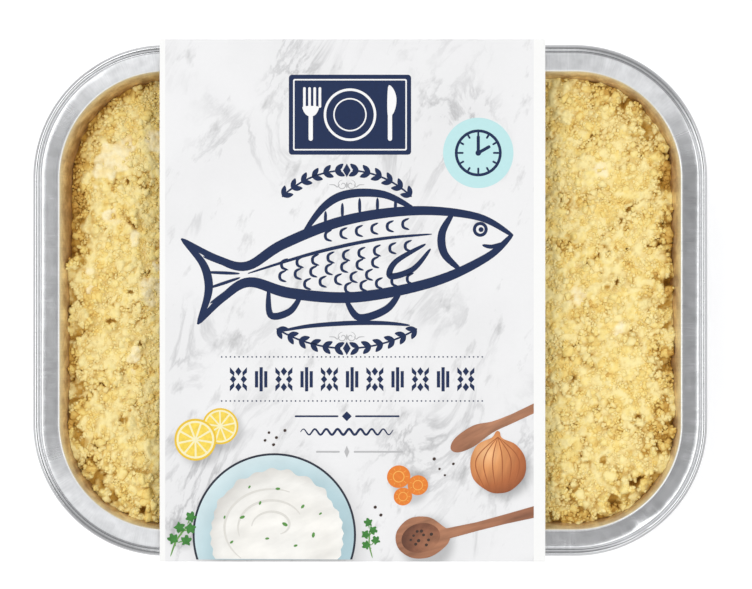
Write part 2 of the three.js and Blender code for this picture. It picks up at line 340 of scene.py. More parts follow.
# Sauce and fat smeared up the food side of the wall in uneven brown and cream patches.
smears = add(tree, "TexNoise", place, Scale=270, Detail=4, Roughness=0.62)
smear_tint = tints(tree, smears, (0.36, (0.62, 0.48, 0.34)), (0.66, (1.3, 1.28, 1.2)))
on_wall = add(tree, "MapRange", across, -8.4 * MM, -7.5 * MM, 0.8, 0)
on_food_side = add(tree, "Math", on_wall, food_side, operation="MULTIPLY")
smeared = mix(tree, on_food_side, foil_with_painted_light, smear_tint, "MULTIPLY")
land = add(tree, "MapRange", across, -7.6 * MM, -6.6 * MM)
curled = add(tree, "MapRange", across, -2.6 * MM, -2.2 * MM, 1, 0)
flat = add(tree, "Math", land, curled, operation="MULTIPLY")
# The flat rim is a little lighter and darker in soft patches, and rubbed matt in places.
clouds = add(tree, "TexNoise", place, Scale=330, Detail=3)
clouded = mix(tree, flat, smeared, add(tree, "MapRange", clouds, 0.3, 0.7, 0.9, 1.1), "MULTIPLY")
scuffed = add(tree, "Math", flat, rubbed, operation="MULTIPLY")
greasy = add(tree, "MapRange", across, -7.6 * MM, -6.6 * MM, 0.2, 0)
greased = add(tree, "Math", greasy, food_side, operation="MULTIPLY")
satin = add(tree, "Math", add(tree, "MapRange", streaks, 0, 1, 0.16, 0.22), greased)
matt = add(tree, "MapRange", scuffed, 0, 1, 1, 0.42)
depth = add(tree, "Math", flat, 0.3, operation="MULTIPLY")
rolled = add(tree, "Bump", Strength=depth, Distance=0.03 * MM, Height=streaks)
# Faint upright creases that the press left in the wall.
creases = add(tree, "TexNoise", add(tree, "Mapping", unrolled, Scale=(420, 24, 1)), Scale=1, Detail=3)
upright = add(tree, "MapRange", across, -9.5 * MM, -7.8 * MM, 0.55, 0)
surface(tree, Base_Color=clouded, Roughness=add(tree, "Math", scuffed, 0.28, satin, operation="MULTIPLY_ADD"),
        Metallic=add(tree, "Math", greased, -2.0, matt, operation="MULTIPLY_ADD"),
        Normal=add(tree, "Bump", Strength=upright, Distance=0.3 * MM, Height=creases, Normal=rolled))
tray.data.materials.append(foil)
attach(tray, "root")
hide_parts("tray")

# Baked filling
# Fish in white sauce, poured into the tray and chilled: it fills the foil up to 7 mm under the rim,
# uneven on top, with pits and cracks, and it shrank a little away from the wall at the left.
GRAIN = 0.25 * MM
WALL_TOP = 31.05 * MM
FOIL_GAP = 0.26 * MM
FOOD_HEIGHT = 24 * MM
CRUMB_HEIGHT = 25 * MM
CRUMB_ROOM = 0.7 * MM
SLEEVE_LEFT = -59.25 * MM
SLEEVE_RIGHT = 49.25 * MM
GRID_X = np.arange(-87 * MM, 87 * MM, GRAIN)
GRID_Y = np.arange(-64.5 * MM, 64.5 * MM, GRAIN)
MESH_X, MESH_Y = np.meshgrid(GRID_X, GRID_Y)


def softened(field, size):
    """The same field without anything smaller than that size."""
    fy = np.fft.fftfreq(field.shape[0], GRAIN)[:, None]
    fx = np.fft.rfftfreq(field.shape[1], GRAIN)[None, :]
    return np.fft.irfft2(np.fft.rfft2(field) * np.exp(-2 * (math.pi * size) ** 2 * (fx ** 2 + fy ** 2)), field.shape)


def soft_noise(seed, size):
    """A field of soft lumps of that size over the tray, mostly from -2 to 2."""
    soft = softened(np.random.default_rng(seed).standard_normal(MESH_X.shape), size)
    return soft / soft.std()


def outside(x, y):
    """How far a point lies outside the outer edge of the rim, negative inside it."""
    cx, cy = np.abs(x) - CORNER_X, np.abs(y) - CORNER_Y
    return np.hypot(np.maximum(cx, 0), np.maximum(cy, 0)) + np.minimum(np.maximum(cx, cy), 0) - CORNER_RADIUS


def wall_gap(x, y, z):
    """How far a point at that height lies inside the foil wall."""
    return -outside(x, y) - RIM_WIDTH - (WALL_TOP - z) * math.tan(WALL_SLOPE) - FOIL_GAP


def ramp(low, high, value):
    """Runs smoothly from 0 at low to 1 at high."""
    part = np.clip((value - low) / (high - low), 0, 1)
    return part * part * (3 - 2 * part)


# The bed follows the top of the solid; beside the wall it reads the height a little further in.
solid = bmesh.new()
solid.from_mesh(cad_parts["gratin"].data)
solid_top = BVHTree.FromBMesh(solid)
solid.free()
coarse_x, coarse_y = GRID_X[::4], GRID_Y[::4]
bed = np.zeros((len(coarse_y), len(coarse_x)))
for row, y in enumerate(coarse_y):
    for column, x in enumerate(coarse_x):
        px, py = x, y
        for _ in range(4):
            over = outside(px, py) + 11 * MM
            if over > 0:
                px, py = px * (1 - over / 0.09), py * (1 - over / 0.07)
        hit = solid_top.ray_cast(Vector((px, py, 0.05)), Vector((0, 0, -1)))[0]
        bed[row, column] = hit.z if hit else FOOD_HEIGHT
bed = np.stack([np.interp(GRID_X, coarse_x, line) for line in bed])
bed = np.stack([np.interp(GRID_Y, coarse_y, line) for line in bed.T]).T
bed -= CRUMB_ROOM

# Smooth patches where the filling shows through: (x, y, half length, half width, turn) in mm.
PATCHES = ((-72.8, 40.0, 7.8, 3.7, 42), (-73.4, 24.0, 2.6, 2.2, 0), (-61.6, 45.0, 2.4, 3.0, 0),
           (-67.0, 18.0, 1.6, 2.4, 0), (-74.7, 41.0, 3.0, 1.6, 20), (-61.8, 3.2, 2.8, 4.2, 10),
           (-67.0, -15.6, 4.2, 1.5, 74), (-79.5, 2.9, 1.7, 2.2, 0), (66.0, 37.3, 1.8, 2.1, 0),
           (59.0, 1.4, 2.5, 2.1, 60), (-80.0, 8.0, 1.4, 1.8, 0), (70.5, -8.0, 2.0, 1.4, 60),
           (-60.8, 10.4, 1.6, 2.0, 0))
# Pits and cracks that go deeper than the rest, in the same way.
PITS = ((-72.5, 33.9, 0.9, 0.6, 70), (-68.8, 34.2, 1.3, 0.6, 80), (-67.7, 21.8, 1.6, 0.7, -65),
        (-60.4, 15.3, 1.2, 0.7, 60), (-62.6, 8.3, 0.9, 0.6, 0), (-61.6, 1.8, 1.2, 0.6, 40),
        (-68.2, 2.4, 0.8, 0.6, 0), (-73.9, -6.1, 1.3, 0.7, 20), (-65.6, -12.4, 1.5, 0.6, 50),
        (-76.5, -24.0, 1.0, 0.6, 10), (-63.0, -30.0, 1.2, 0.6, 80), (73.4, 25.8, 0.8, 0.6, 40),
        (70.7, 22.5, 0.9, 0.6, 70), (56.6, 16.6, 2.0, 0.45, 58), (61.9, 10.8, 1.8, 0.5, 85),
        (70.1, 11.4, 1.0, 0.45, 85), (70.0, 5.4, 0.9, 0.7, 90), (67.2, 3.8, 0.9, 0.7, 20),
        (70.9, -3.5, 0.8, 0.5, 0), (84.0, 4.6, 1.4, 1.3, 80), (82.0, 15.8, 4.0, 0.42, 8),
        (63.5, 47.0, 1.2, 0.6, 30), (58.0, -22.0, 1.4, 0.6, 60), (76.0, -33.0, 1.2, 0.7, 20),
        (66.0, -45.0, 1.3, 0.7, 75), (-78.0, -41.0, 1.2, 0.8, 40))

# Gaps between the crust and the foil wall, in the same way.
GAPS = ((85.0, -21.0, 3.6, 1.6, 90), (82.6, -30.5, 3.0, 1.8, 70), (81.0, -36.0, 2.2, 1.6, 60),
        (78.0, -42.5, 2.0, 1.4, 50), (84.0, 41.5, 1.4, 1.2, 60), (85.4, 35.3, 2.2, 1.3, 90),
        (75.4, 54.6, 2.0, 1.2, -50), (67.5, 59.6, 2.8, 1.2, -20), (84.9, 4.3, 2.6, 1.3, 90),
        (57.5, -60.9, 4.0, 1.5, 0), (68.5, -58.4, 2.0, 1.4, 25), (-64.5, 61.2, 3.0, 1.3, 0),
        (-77.5, 55.0, 3.0, 1.4, 45), (-82.8, 26.0, 4.6, 2.2, 90), (-81.5, 38.5, 3.2, 1.8, 75))


def marks(places, seed, edge):
    """1 inside the places given, falling to 0 over their wavering edges."""
    field, waver = np.zeros(MESH_X.shape), soft_noise(seed, 0.9 * MM) * 0.22
    for x, y, half_length, half_width, turn in places:
        c, s = math.cos(math.radians(turn)), math.sin(math.radians(turn))
        dx, dy = MESH_X / MM - x, MESH_Y / MM - y
        reach = np.hypot((dx * c + dy * s) / half_length, (dy * c - dx * s) / half_width)
        field = np.maximum(field, 1 - ramp(1 - edge, 1 + edge, reach + waver))
    return field


def cells(seed, size):
    """Divides the food into lumps of that size: how far inside its lump a point lies, and a number of its own."""
    rng = np.random.default_rng(seed)
    across, down = int(0.20 / size), int(0.16 / size)
    jitter, own = rng.uniform(0, 1, (down, across, 2)), rng.standard_normal((down, across))
    x = (MESH_X + 0.1) / size + 0.22 * soft_noise(seed + 1, 0.3 * size) / 2
    y = (MESH_Y + 0.08) / (1.25 * size) + 0.22 * soft_noise(seed + 2, 0.3 * size) / 2
    column, row = x.astype(int), y.astype(int)
    first, second, number = np.full(x.shape, 9.0), np.full(x.shape, 9.0), np.zeros(x.shape)
    for i in (-1, 0, 1):
        for j in (-1, 0, 1):
            c, r = np.clip(column + i, 0, across - 1), np.clip(row + j, 0, down - 1)
            far = np.hypot(column + i + jitter[r, c, 0] - x, row + j + jitter[r, c, 1] - y)
            nearer = far < first
            second = np.where(nearer, first, np.minimum(second, far))
            number = np.where(nearer, own[r, c], number)
            first = np.where(nearer, far, first)
    return second - first, number


def on_bed(field, x, y):
    """Reads a field of the tray at points."""
    column = np.clip(((np.asarray(x) - GRID_X[0]) / GRAIN).round().astype(int), 0, len(GRID_X) - 1)
    row = np.clip(((np.asarray(y) - GRID_Y[0]) / GRAIN).round().astype(int), 0, len(GRID_Y) - 1)
    return field[row, column]


patch = marks(PATCHES, 11, 0.2)
gap = wall_gap(MESH_X, MESH_Y, FOOD_HEIGHT)
at_left = ramp(0.02, 0.07, -MESH_X)
shrunk = soft_noise(7, 2.6 * MM) + 1.5 * at_left * ramp(-10 * MM, 8 * MM, MESH_Y) + 0.3 * at_left - 0.75
shrunk = ramp(-0.3, 0.8, shrunk)
shrunk *= 1 - ramp(1.2 * MM, 5.2 * MM, gap + 0.5 * MM * soft_noise(9, 1.1 * MM))
shrunk = np.maximum(shrunk, 0.8 * marks(GAPS, 17, 0.3))
full_right = ramp(62 * MM, 82 * MM, MESH_X) * (1 - shrunk)
full_back = ramp(20 * MM, 50 * MM, MESH_X) * ramp(46 * MM, 60 * MM, MESH_Y) * (1 - shrunk)
level_bed = bed - 2.9 * MM * shrunk + MM * np.maximum(1.0 * full_right, 1.5 * full_back)

# Lumps of crumbs that stick together, with open joints between some of them.
inside_big, own_big = cells(61, 2.7 * MM)
inside_small, own_small = cells(64, 1.3 * MM)
open_joint = ramp(-0.3, 1.1, soft_noise(12, 1.7 * MM))
joints = (1 - ramp(0.0, 0.34, inside_big)) * open_joint
# The crust frays along the front and the two ends, with brown hollows between its lumps.
frayed = np.maximum(1.3 * ramp(-38 * MM, -50 * MM, MESH_Y), 0.75 * ramp(66 * MM, 76 * MM, np.abs(MESH_X)))
frayed = np.maximum(frayed, 0.8 * ramp(52 * MM, 70 * MM, MESH_X) * ramp(28 * MM, 44 * MM, MESH_Y))
frayed *= (1 - ramp(3 * MM, 9 * MM, gap)) * (1 - 0.6 * shrunk)
frayed *= ramp(-0.1, 1.0, soft_noise(18, 1.1 * MM) + 0.5 - 1.4 * inside_big)
holes = 0.8 * joints * ramp(1.0, 1.9, soft_noise(4, 0.9 * MM)) + marks(PITS, 13, 0.35) + 0.75 * frayed
holes = np.clip(0.85 * holes + 0.3 * ramp(2.0, 2.8, soft_noise(3, 0.8 * MM)), 0, 1.1) * (1 - 0.8 * patch)
# Beside the sleeve the crust is closed.
beside = np.maximum(SLEEVE_LEFT - MESH_X, MESH_X - SLEEVE_RIGHT)
holes *= 1 - 0.7 * ramp(-8 * MM, -3 * MM, beside) * (1 - ramp(1 * MM, 4 * MM, beside))
calm = 1 - 0.75 * patch
relief = calm * (0.34 * own_big * ramp(0, 0.25, inside_big) - 0.55 * joints + 0.42 * soft_noise(14, 2.2 * MM))
relief += calm * (0.14 * own_small - 0.22 * (1 - ramp(0.0, 0.4, inside_small)) * (0.5 + 0.5 * open_joint))
relief += 0.08 * soft_noise(8, 0.35 * MM) + 0.45 * patch - 1.3 * holes
ground = level_bed + MM * relief
own_tone = 0.52 + 0.1 * own_big + 0.11 * own_small
own_tone += 0.08 * soft_noise(15, 0.5 * MM) + 0.08 * soft_noise(16, 1.6 * MM)


def sieve(places, radii, sink):
    """Lets crumbs drop one after another, and gives the height that each one comes to rest at."""
    heights = np.zeros(len(radii))
    for i, ((x, y), radius) in enumerate(zip(places, radii)):
        reach = int(radius / GRAIN) + 1
        column, row = int(round((x - GRID_X[0]) / GRAIN)), int(round((y - GRID_Y[0]) / GRAIN))
        for _ in range(4):
            near = ground[row - 2 * reach:row + 2 * reach + 1:reach, column - 2 * reach:column + 2 * reach + 1:reach]
            if near.shape != (5, 5):
                break
            down, across = divmod(int(near.argmin()), 5)
            if near[2, 2] - near[down, across] < 0.6 * radius:
                break
            next_row, next_column = row + int(np.sign(down - 2)) * reach, column + int(np.sign(across - 2)) * reach
            if holes[next_row, next_column] > 0.35:
                break
            row, column = next_row, next_column
        x, y = GRID_X[0] + column * GRAIN, GRID_Y[0] + row * GRAIN
        places[i] = x, y
        window = (slice(max(row - reach, 0), row + reach + 1), slice(max(column - reach, 0), column + reach + 1))
        far = (MESH_X[window] - x) ** 2 + (MESH_Y[window] - y) ** 2
        cap = np.sqrt(np.maximum(radius ** 2 - far, 0))
        inside = far < (0.9 * radius) ** 2
        if not inside.any():
            continue
        rest = np.percentile((ground[window] + 0.75 * cap)[inside], 80) - sink * radius
        heights[i] = rest
        ground[window] = np.where(inside, np.maximum(ground[window], rest + 0.75 * cap), ground[window])
    return heights


def sown(count, seed, wanted):
    """Places of that many crumbs over the food, kept by the chance that wanted gives each."""
    rng = np.random.default_rng(seed)
    x, y = rng.uniform(-86 * MM, 86 * MM, count), rng.uniform(-63 * MM, 63 * MM, count)
    keep = rng.uniform(0, 1, count) < wanted(x, y)
    return np.column_stack([x, y])[keep]


# A few crumbs pressed into the top.
places = sown(1500, 31, lambda x, y: (on_bed(holes, x, y) < 0.2) * (wall_gap(x, y, CRUMB_HEIGHT) > 0.8 * MM))
sieve(places, np.sort(np.random.default_rng(31).uniform(0.8 * MM, 1.9 * MM, len(places)))[::-1], 1.0)
pressed = ground.copy()


def open_share(x, low):
    """1 at the open ends and just inside the sleeve, low further under it."""
    under = np.minimum(x - SLEEVE_LEFT, SLEEVE_RIGHT - x)
    return low + (1 - low) * (1 - ramp(9 * MM, 14 * MM, under))


def lumps_wanted(x, y):
    """Lumps rolled to the wall and the corners."""
    gap = wall_gap(x, y, CRUMB_HEIGHT)
    corner = ramp(15 * MM, 34 * MM, np.abs(y) - 20 * MM) * ramp(0, 12 * MM, np.abs(x) - 55 * MM)
    edge = 0.2 * (1 - ramp(2 * MM, 7 * MM, gap)) + 0.7 * corner * (1 - ramp(6 * MM, 18 * MM, gap)) + 0.03
    return edge * (gap > 1.3 * MM) * open_share(x, 0.3) * (1 - on_bed(patch, x, y)) * (on_bed(holes, x, y) < 0.3)


def bits_wanted(x, y):
    """Coarse bits lie everywhere, more of them near the wall."""
    gap = wall_gap(x, y, CRUMB_HEIGHT)
    edge = 0.34 + 0.66 * (1 - ramp(2 * MM, 12 * MM, gap))
    clear = (1 - 0.9 * on_bed(patch, x, y)) * (on_bed(holes, x, y) < 0.3)
    return edge * (gap > 0.8 * MM) * open_share(x, 0.25) * clear


def grains_wanted(x, y):
    """Fine grains fill what is left."""
    gap = wall_gap(x, y, CRUMB_HEIGHT)
    edge = 0.6 + 0.4 * (1 - ramp(2 * MM, 12 * MM, gap))
    clear = (1 - 0.7 * on_bed(patch, x, y)) * (on_bed(holes, x, y) < 0.45)
    return edge * (gap > 0.45 * MM) * open_share(x, 0.35) * clear


# Where the crumbs lie: (name, how many at most, where they are wanted, radii, how far they sink in, seed).
KINDS = (("crumb_lumps", 2600, lumps_wanted, 1.25, 2.0, 0.45, 51),
         ("coarse_crumbs", 8500, bits_wanted, 0.65, 1.4, 0.9, 52),
         ("fine_crumbs", 22000, grains_wanted, 0.38, 0.66, 1.0, 53))
lying = {}
for name, count, wanted, low, high, sink, seed in KINDS:
    places = sown(count, seed, wanted)
    radii = np.random.default_rng(seed + 100).uniform(low * MM, high * MM, len(places))
    if name != "fine_crumbs":
        order = np.argsort(-radii)
        places, radii = places[order], radii[order]
    heights = sieve(places, radii, sink)
    keep = wall_gap(places[:, 0], places[:, 1], heights) > 0.55 * radii
    lying[name] = places[keep], radii[keep], heights[keep]


def points_of(piece):
    """The corners of a piece, one row each."""
    points = np.zeros(len(piece.data.vertices) * 3)
    piece.data.vertices.foreach_get("co", points)
    return points.reshape(-1, 3)


# The crust closes in round the crumbs, but not over the holes and the gaps at the wall.
closed = softened(ground, 0.42 * MM) - 0.2 * MM
closed = closed - 0.9 * MM * np.clip(holes, 0, 1) - 0.5 * MM * shrunk - 0.45 * MM * joints
crust = np.maximum(pressed, closed)

food_section = [(-25 * MM, 1.85 * MM)] + arc((-18.43 * MM, 7.55 * MM), 5.7 * MM, -90, -12, 6)
food_section += [(-11.65 * MM, 12.0 * MM), (-9.25 * MM, 23.3 * MM), (-8.05 * MM, 29.0 * MM)]
food_space = press_round("food_space", food_section, 12 * MM, 24)
close_edge(food_space, 0, 3 * MM)
close_edge(food_space, 28 * MM, 31 * MM)
face_out(food_space)
bpy.ops.object.mode_set(mode="OBJECT")

# The crust is a grid whose columns stand closer in the two open ends than under the sleeve.
CORE_LENGTH = 0.1735
CORE_WIDTH = 0.1285
COLUMNS, ROWS = 231, 290
bpy.ops.object.select_all(action="DESELECT")
bpy.ops.mesh.primitive_grid_add(x_subdivisions=COLUMNS, y_subdivisions=ROWS, size=1)
core = bpy.context.object
core.name = "gratin_core"
core.scale = (CORE_LENGTH, CORE_WIDTH, 1)
bpy.ops.object.transform_apply(location=True, rotation=True, scale=True)
corners = points_of(core)
shares = (-0.5, -0.5 + 78 / COLUMNS, -0.5 + 161 / COLUMNS, 0.5)
ends = (-CORE_LENGTH / 2, -0.0545, 0.044, CORE_LENGTH / 2)
corners[:, 0] = np.interp(corners[:, 0] / CORE_LENGTH, shares, ends)
corners[:, 2] = on_bed(crust, corners[:, 0], corners[:, 1])
core.data.vertices.foreach_set("co", corners.ravel())
bpy.ops.object.mode_set(mode="EDIT")
bpy.ops.mesh.select_all(action="SELECT")
pull(0, 0, -40 * MM)
face_out(core)
bpy.ops.object.mode_set(mode="OBJECT")
bpy.ops.object.modifier_add(type="BOOLEAN")
core.modifiers["Boolean"].operation = "INTERSECT"
core.modifiers["Boolean"].solver = "MANIFOLD"
core.modifiers["Boolean"].object = food_space
bpy.ops.object.modifier_apply(modifier="Boolean")
bpy.data.objects.remove(food_space)
bpy.ops.object.shade_smooth_by_angle(angle=math.radians(70))
spots = points_of(core)
note(core.data, "sauce", on_bed(patch, spots[:, 0], spots[:, 1]))
note(core.data, "tone", on_bed(own_tone, spots[:, 0], spots[:, 1]))

GOLDEN, YELLOW, PALE = (0.90, 0.68, 0.218), (0.925, 0.76, 0.30), (0.93, 0.79, 0.37)
# Brown mixed in where crust and crumbs lie deep: painted shade in the hollows.
HOLLOW_SHADE_BROWN = (0.585, 0.345, 0.062, 1)
filling, tree = new_material("baked_filling")
tone, sauce, recess_shade = (add(tree, "Attribute", out="Fac", attribute_name=name) for name in ("tone", "sauce", "recess_shade"))
place = add(tree, "TexCoord", out="Object")
cloud = add(tree, "TexNoise", place, Scale=500, Detail=4)
mixed = add(tree, "Math", cloud, 0.8, tone, operation="MULTIPLY_ADD")
crumb_tint = tints(tree, mixed, (0.5, GOLDEN), (0.8, YELLOW), (1, PALE))
sauce_tint = tints(tree, cloud, (0.35, (0.95, 0.79, 0.40)), (0.6, (0.96, 0.86, 0.55)))
blend = mix(tree, sauce, crumb_tint, sauce_tint)
fine = add(tree, "TexNoise", place, Scale=1500, Detail=3)
shifts = fine.node.outputs["Color"]
pushed = add(tree, "VectorMath", shifts, (0.6 * MM, 0.6 * MM, 0.6 * MM), place, operation="MULTIPLY_ADD")
beads = add(tree, "TexVoronoi", pushed, Scale=950, Smoothness=0.35, feature="SMOOTH_F1")
beaded = add(tree, "Math", beads, -1.3, fine, operation="MULTIPLY_ADD")
surface(tree, Base_Color=mix(tree, recess_shade, blend, HOLLOW_SHADE_BROWN), Roughness=0.6, Specular_IOR_Level=0.25,
        Normal=add(tree, "Bump", Strength=0.5, Distance=0.38 * MM, Height=beaded))
core.data.materials.clear()
core.data.materials.append(filling)
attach(core, "root")
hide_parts("gratin")

# Bread crumbs
# Dry white bread, crushed and sieved over the filling: fine grains everywhere, coarser bits among them,
# and blocky lumps that rolled to the wall and the corners. They lie where they fell.
chance = random.Random(7)


def broken_bit(cubes, cuts, uneven):
    """A bit of crushed bread: a block with uneven corners and a few flat broken faces."""
    bpy.ops.object.select_all(action="DESELECT")
    bpy.ops.mesh.primitive_cube_add(size=1.5)
    bit = bpy.context.object
    bpy.ops.object.mode_set(mode="EDIT")
    if cubes:
        bpy.ops.mesh.subdivide(number_cuts=cubes, smoothness=0.6)
    shape = bmesh.from_edit_mesh(bit.data)
    for vertex in shape.verts:
        vertex.co *= 1 + chance.uniform(-uneven, uneven)
    bmesh.update_edit_mesh(bit.data)
    for _ in range(cuts):
        way = Vector([chance.choice((-1, 1)) * chance.uniform(0.4, 1) for _ in range(3)]).normalized()
        bpy.ops.mesh.select_all(action="SELECT")
        bpy.ops.mesh.bisect(plane_co=way * chance.uniform(0.6, 0.85), plane_no=way, use_fill=True, clear_outer=True)
    bpy.ops.mesh.select_all(action="SELECT")
    bpy.ops.mesh.dissolve_limited(angle_limit=math.radians(2))
    bpy.ops.mesh.select_all(action="SELECT")
    bpy.ops.mesh.quads_convert_to_tris()
    bpy.ops.object.mode_set(mode="OBJECT")
    corners = np.array([vertex.co[:] for vertex in bit.data.vertices])
    faces = np.array([face.vertices[:] for face in bit.data.polygons])
    bpy.data.objects.remove(bit)
    return corners, faces


def turned(count, seed):
    """Random turns, as matrices."""
    q = np.random.default_rng(seed).standard_normal((count, 4))
    w, x, y, z = (q / np.linalg.norm(q, axis=1)[:, None]).T
    return np.stack([np.stack([1 - 2 * (y * y + z * z), 2 * (x * y - z * w), 2 * (x * z + y * w)], 1),
                     np.stack([2 * (x * y + z * w), 1 - 2 * (x * x + z * z), 2 * (y * z - x * w)], 1),
                     np.stack([2 * (x * z - y * w), 2 * (y * z + x * w), 1 - 2 * (x * x + y * y)], 1)], 1)


def scatter(name, bits, places, radii, heights, tones, seed):
    """Makes one piece of all these grains, each a turned and stretched copy of one of the bits."""
    rng = np.random.default_rng(seed)
    kind = rng.integers(len(bits), size=len(radii))
    turns = turned(len(radii), seed + 1)
    stretch = rng.uniform(0.72, 1.12, (len(radii), 3))
    centres = np.column_stack([places, heights])
    all_corners, all_faces, all_tones, count = [], [], [], 0
    for k, (corners, faces) in enumerate(bits):
        these = np.nonzero(kind == k)[0]
        if not len(these):
            continue
        shaped = corners[None] * stretch[these][:, None] * radii[these][:, None, None]
        shaped = np.einsum("nij,nvj->nvi", turns[these], shaped) + centres[these][:, None]
        all_corners.append(shaped.reshape(-1, 3))
        all_faces.append((faces[None] + (np.arange(len(these)) * len(corners))[:, None, None] + count).reshape(-1, 3))
        all_tones.append(np.repeat(tones[these], len(corners)))
        count += len(these) * len(corners)
    data = bpy.data.meshes.new(name)
    data.from_pydata(np.concatenate(all_corners), [], np.concatenate(all_faces))
    note(data, "tone", np.concatenate(all_tones))
    data.polygons.foreach_set("use_smooth", np.ones(len(data.polygons), dtype=bool))
    piece = bpy.data.objects.new(name, data)
    scene.collection.objects.link(piece)
    return piece


lump_bits = [broken_bit(2, 5, 0.15) for _ in range(6)]
coarse_bits = [broken_bit(0, 4, 0.12) for _ in range(8)]
fine_bits = [broken_bit(0, 2, 0.12) for _ in range(8)]
tone_rng = np.random.default_rng(40)

crumb_pieces = []
for (name, *_, seed), bits in zip(KINDS, (lump_bits, coarse_bits, fine_bits)):
    places, radii, heights = lying[name]
    # Crumbs in the strip where the filling shrank from the wall get a darker tone: painted shade in that recess.
    tones = tone_rng.normal(0.12, 0.08, len(radii)) + on_bed(own_tone - 0.5 * shrunk, places[:, 0], places[:, 1])
    tones = np.clip(tones, 0, 1)
    if name != "fine_crumbs":
        crumb_pieces.append(scatter(name, bits, places, radii, heights, tones, seed))
        continue
    for part, left, right in (("left", -1, -0.055), ("middle", -0.055, 0.045), ("right", 0.045, 1)):
        here = (places[:, 0] >= left) & (places[:, 0] < right)
        crumb_pieces.append(scatter(name + "_" + part, bits, places[here], radii[here], heights[here],
                                    tones[here], seed))

# Crust and crumbs are painted browner where they lie deep between their neighbours, and in the holes, the joints and
# the shrunk strip by the wall: painted shade in the hollows.
around_it = softened(ground, 0.9 * MM)
low_places = 0.75 * shrunk + 0.8 * np.clip(holes, 0, 1) + 0.3 * joints
for piece in [core] + crumb_pieces:
    spots = points_of(piece)
    if piece is not core:
        # A crumb that would stick through the foil is flattened against it.
        past = np.maximum(0.08 * MM - wall_gap(spots[:, 0], spots[:, 1], spots[:, 2]), 0)
        way = np.maximum(np.abs(spots[:, :2]) - (CORNER_X, CORNER_Y), 0)
        way *= np.sign(spots[:, :2]) / np.maximum(np.hypot(way[:, 0], way[:, 1]), MM)[:, None]
        spots[:, :2] -= way * past[:, None]
        piece.data.vertices.foreach_set("co", spots.ravel())
    under = on_bed(around_it, spots[:, 0], spots[:, 1]) - spots[:, 2]
    depth = ramp(-0.15 * MM, 1.0 * MM, under)
    depth += (1.0 if piece is core else 0.35) * on_bed(low_places, spots[:, 0], spots[:, 1])
    note(piece.data, "recess_shade", np.clip(depth, 0, 1))

crumb, tree = new_material("dry_bread_crumb")
tone, recess_shade = (add(tree, "Attribute", out="Fac", attribute_name=name) for name in ("tone", "recess_shade"))
cloud = add(tree, "TexNoise", add(tree, "TexCoord", out="Object"), Scale=1400, Detail=3)
mixed = add(tree, "Math", cloud, 0.5, tone, operation="MULTIPLY_ADD")
toast_and_recess_shade = tints(tree, mixed, (0.25, (0.63, 0.37, 0.09)), (0.5, GOLDEN), (0.78, YELLOW), (1, PALE))
surface(tree, Base_Color=mix(tree, recess_shade, toast_and_recess_shade, HOLLOW_SHADE_BROWN), Roughness=0.75, Specular_IOR_Level=0.2,
        Normal=add(tree, "Bump", Strength=0.4, Distance=0.25 * MM, Height=cloud))
for piece in crumb_pieces:
    piece.data.materials.append(crumb)
    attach(piece, "root")

# Carton sleeve
# One strip of white coated board, creased at four folds, wrapped round the tray and glued under it with
# an overlap. The outside is printed with pale marble; the cut edges and the inside are bare board.
BOARD = 0.5 * MM
SLEEVE_TOP = 32.28 * MM
LAP_OUT = 52 * MM
LAP_IN = 33 * MM
LAP_HEIGHT = 0.52 * MM
FOLDS = ((-61.8 * MM, 0.0), (-73.905 * MM, SLEEVE_TOP), (73.905 * MM, SLEEVE_TOP), (61.99 * MM, LAP_HEIGHT))
LENGTHS = 6

strip = [(LAP_OUT, 0.0), *FOLDS, (LAP_IN, LAP_HEIGHT)]
sleeve = start_line("carton_sleeve", [(SLEEVE_LEFT, y, z) for y, z in strip])
for _ in range(LENGTHS):
    pull((SLEEVE_RIGHT - SLEEVE_LEFT) / LENGTHS, 0, 0)
bpy.ops.mesh.select_mode(type="EDGE")
for y, z in FOLDS:
    bpy.ops.mesh.select_all(action="DESELECT")
    shape = bmesh.from_edit_mesh(sleeve.data)
    for edge in shape.edges:
        if all(abs(v.co.y - y) < 0.01 * MM and abs(v.co.z - z) < 0.01 * MM for v in edge.verts):
            edge.select_set(True)
    bmesh.update_edit_mesh(sleeve.data)
    bpy.ops.mesh.bevel(offset=(1.15 if z == SLEEVE_TOP else 0.55) * MM, segments=5, affect="EDGES")
face_out(sleeve, lambda face: -face.calc_center_median().z)
bpy.ops.object.mode_set(mode="OBJECT")
bpy.ops.object.modifier_add(type="SOLIDIFY")
sleeve.modifiers["Solidify"].thickness = BOARD
sleeve.modifiers["Solidify"].offset = -1
sleeve.modifiers["Solidify"].material_offset = 1
sleeve.modifiers["Solidify"].material_offset_rim = 1


def new_group(name, inputs, outputs):
    """A group of nodes with named inputs and outputs: gives it, what comes in, and the node that it ends in."""
    group = bpy.data.node_groups.new(name, "ShaderNodeTree")
    for in_out, sockets in (("INPUT", inputs), ("OUTPUT", outputs)):
        for socket, kind in sockets.items():
            group.interface.new_socket(socket, in_out=in_out, socket_type="NodeSocket" + kind)
    return group, group.nodes.new("NodeGroupInput").outputs, group.nodes.new("NodeGroupOutput")


# Slight cloudiness of ink and coating, and the tooth of the board, for every printed surface.
mottling, given, end = new_group("print_mottle", {"Colour": "Color", "Amount": "Float"},
                                 {"Colour": "Color", "Height": "Float"})
fibre = add(mottling, "TexNoise", add(mottling, "TexCoord", out="Object"), Scale=900, Detail=4)
centred = add(mottling, "Math", fibre, 0.5, operation="SUBTRACT")
swing = add(mottling, "Math", centred, given["Amount"], 1, operation="MULTIPLY_ADD")
wire(mottling, end, Colour=add(mottling, "VectorMath", given["Colour"], Scale=swing, operation="SCALE"), Height=fibre)

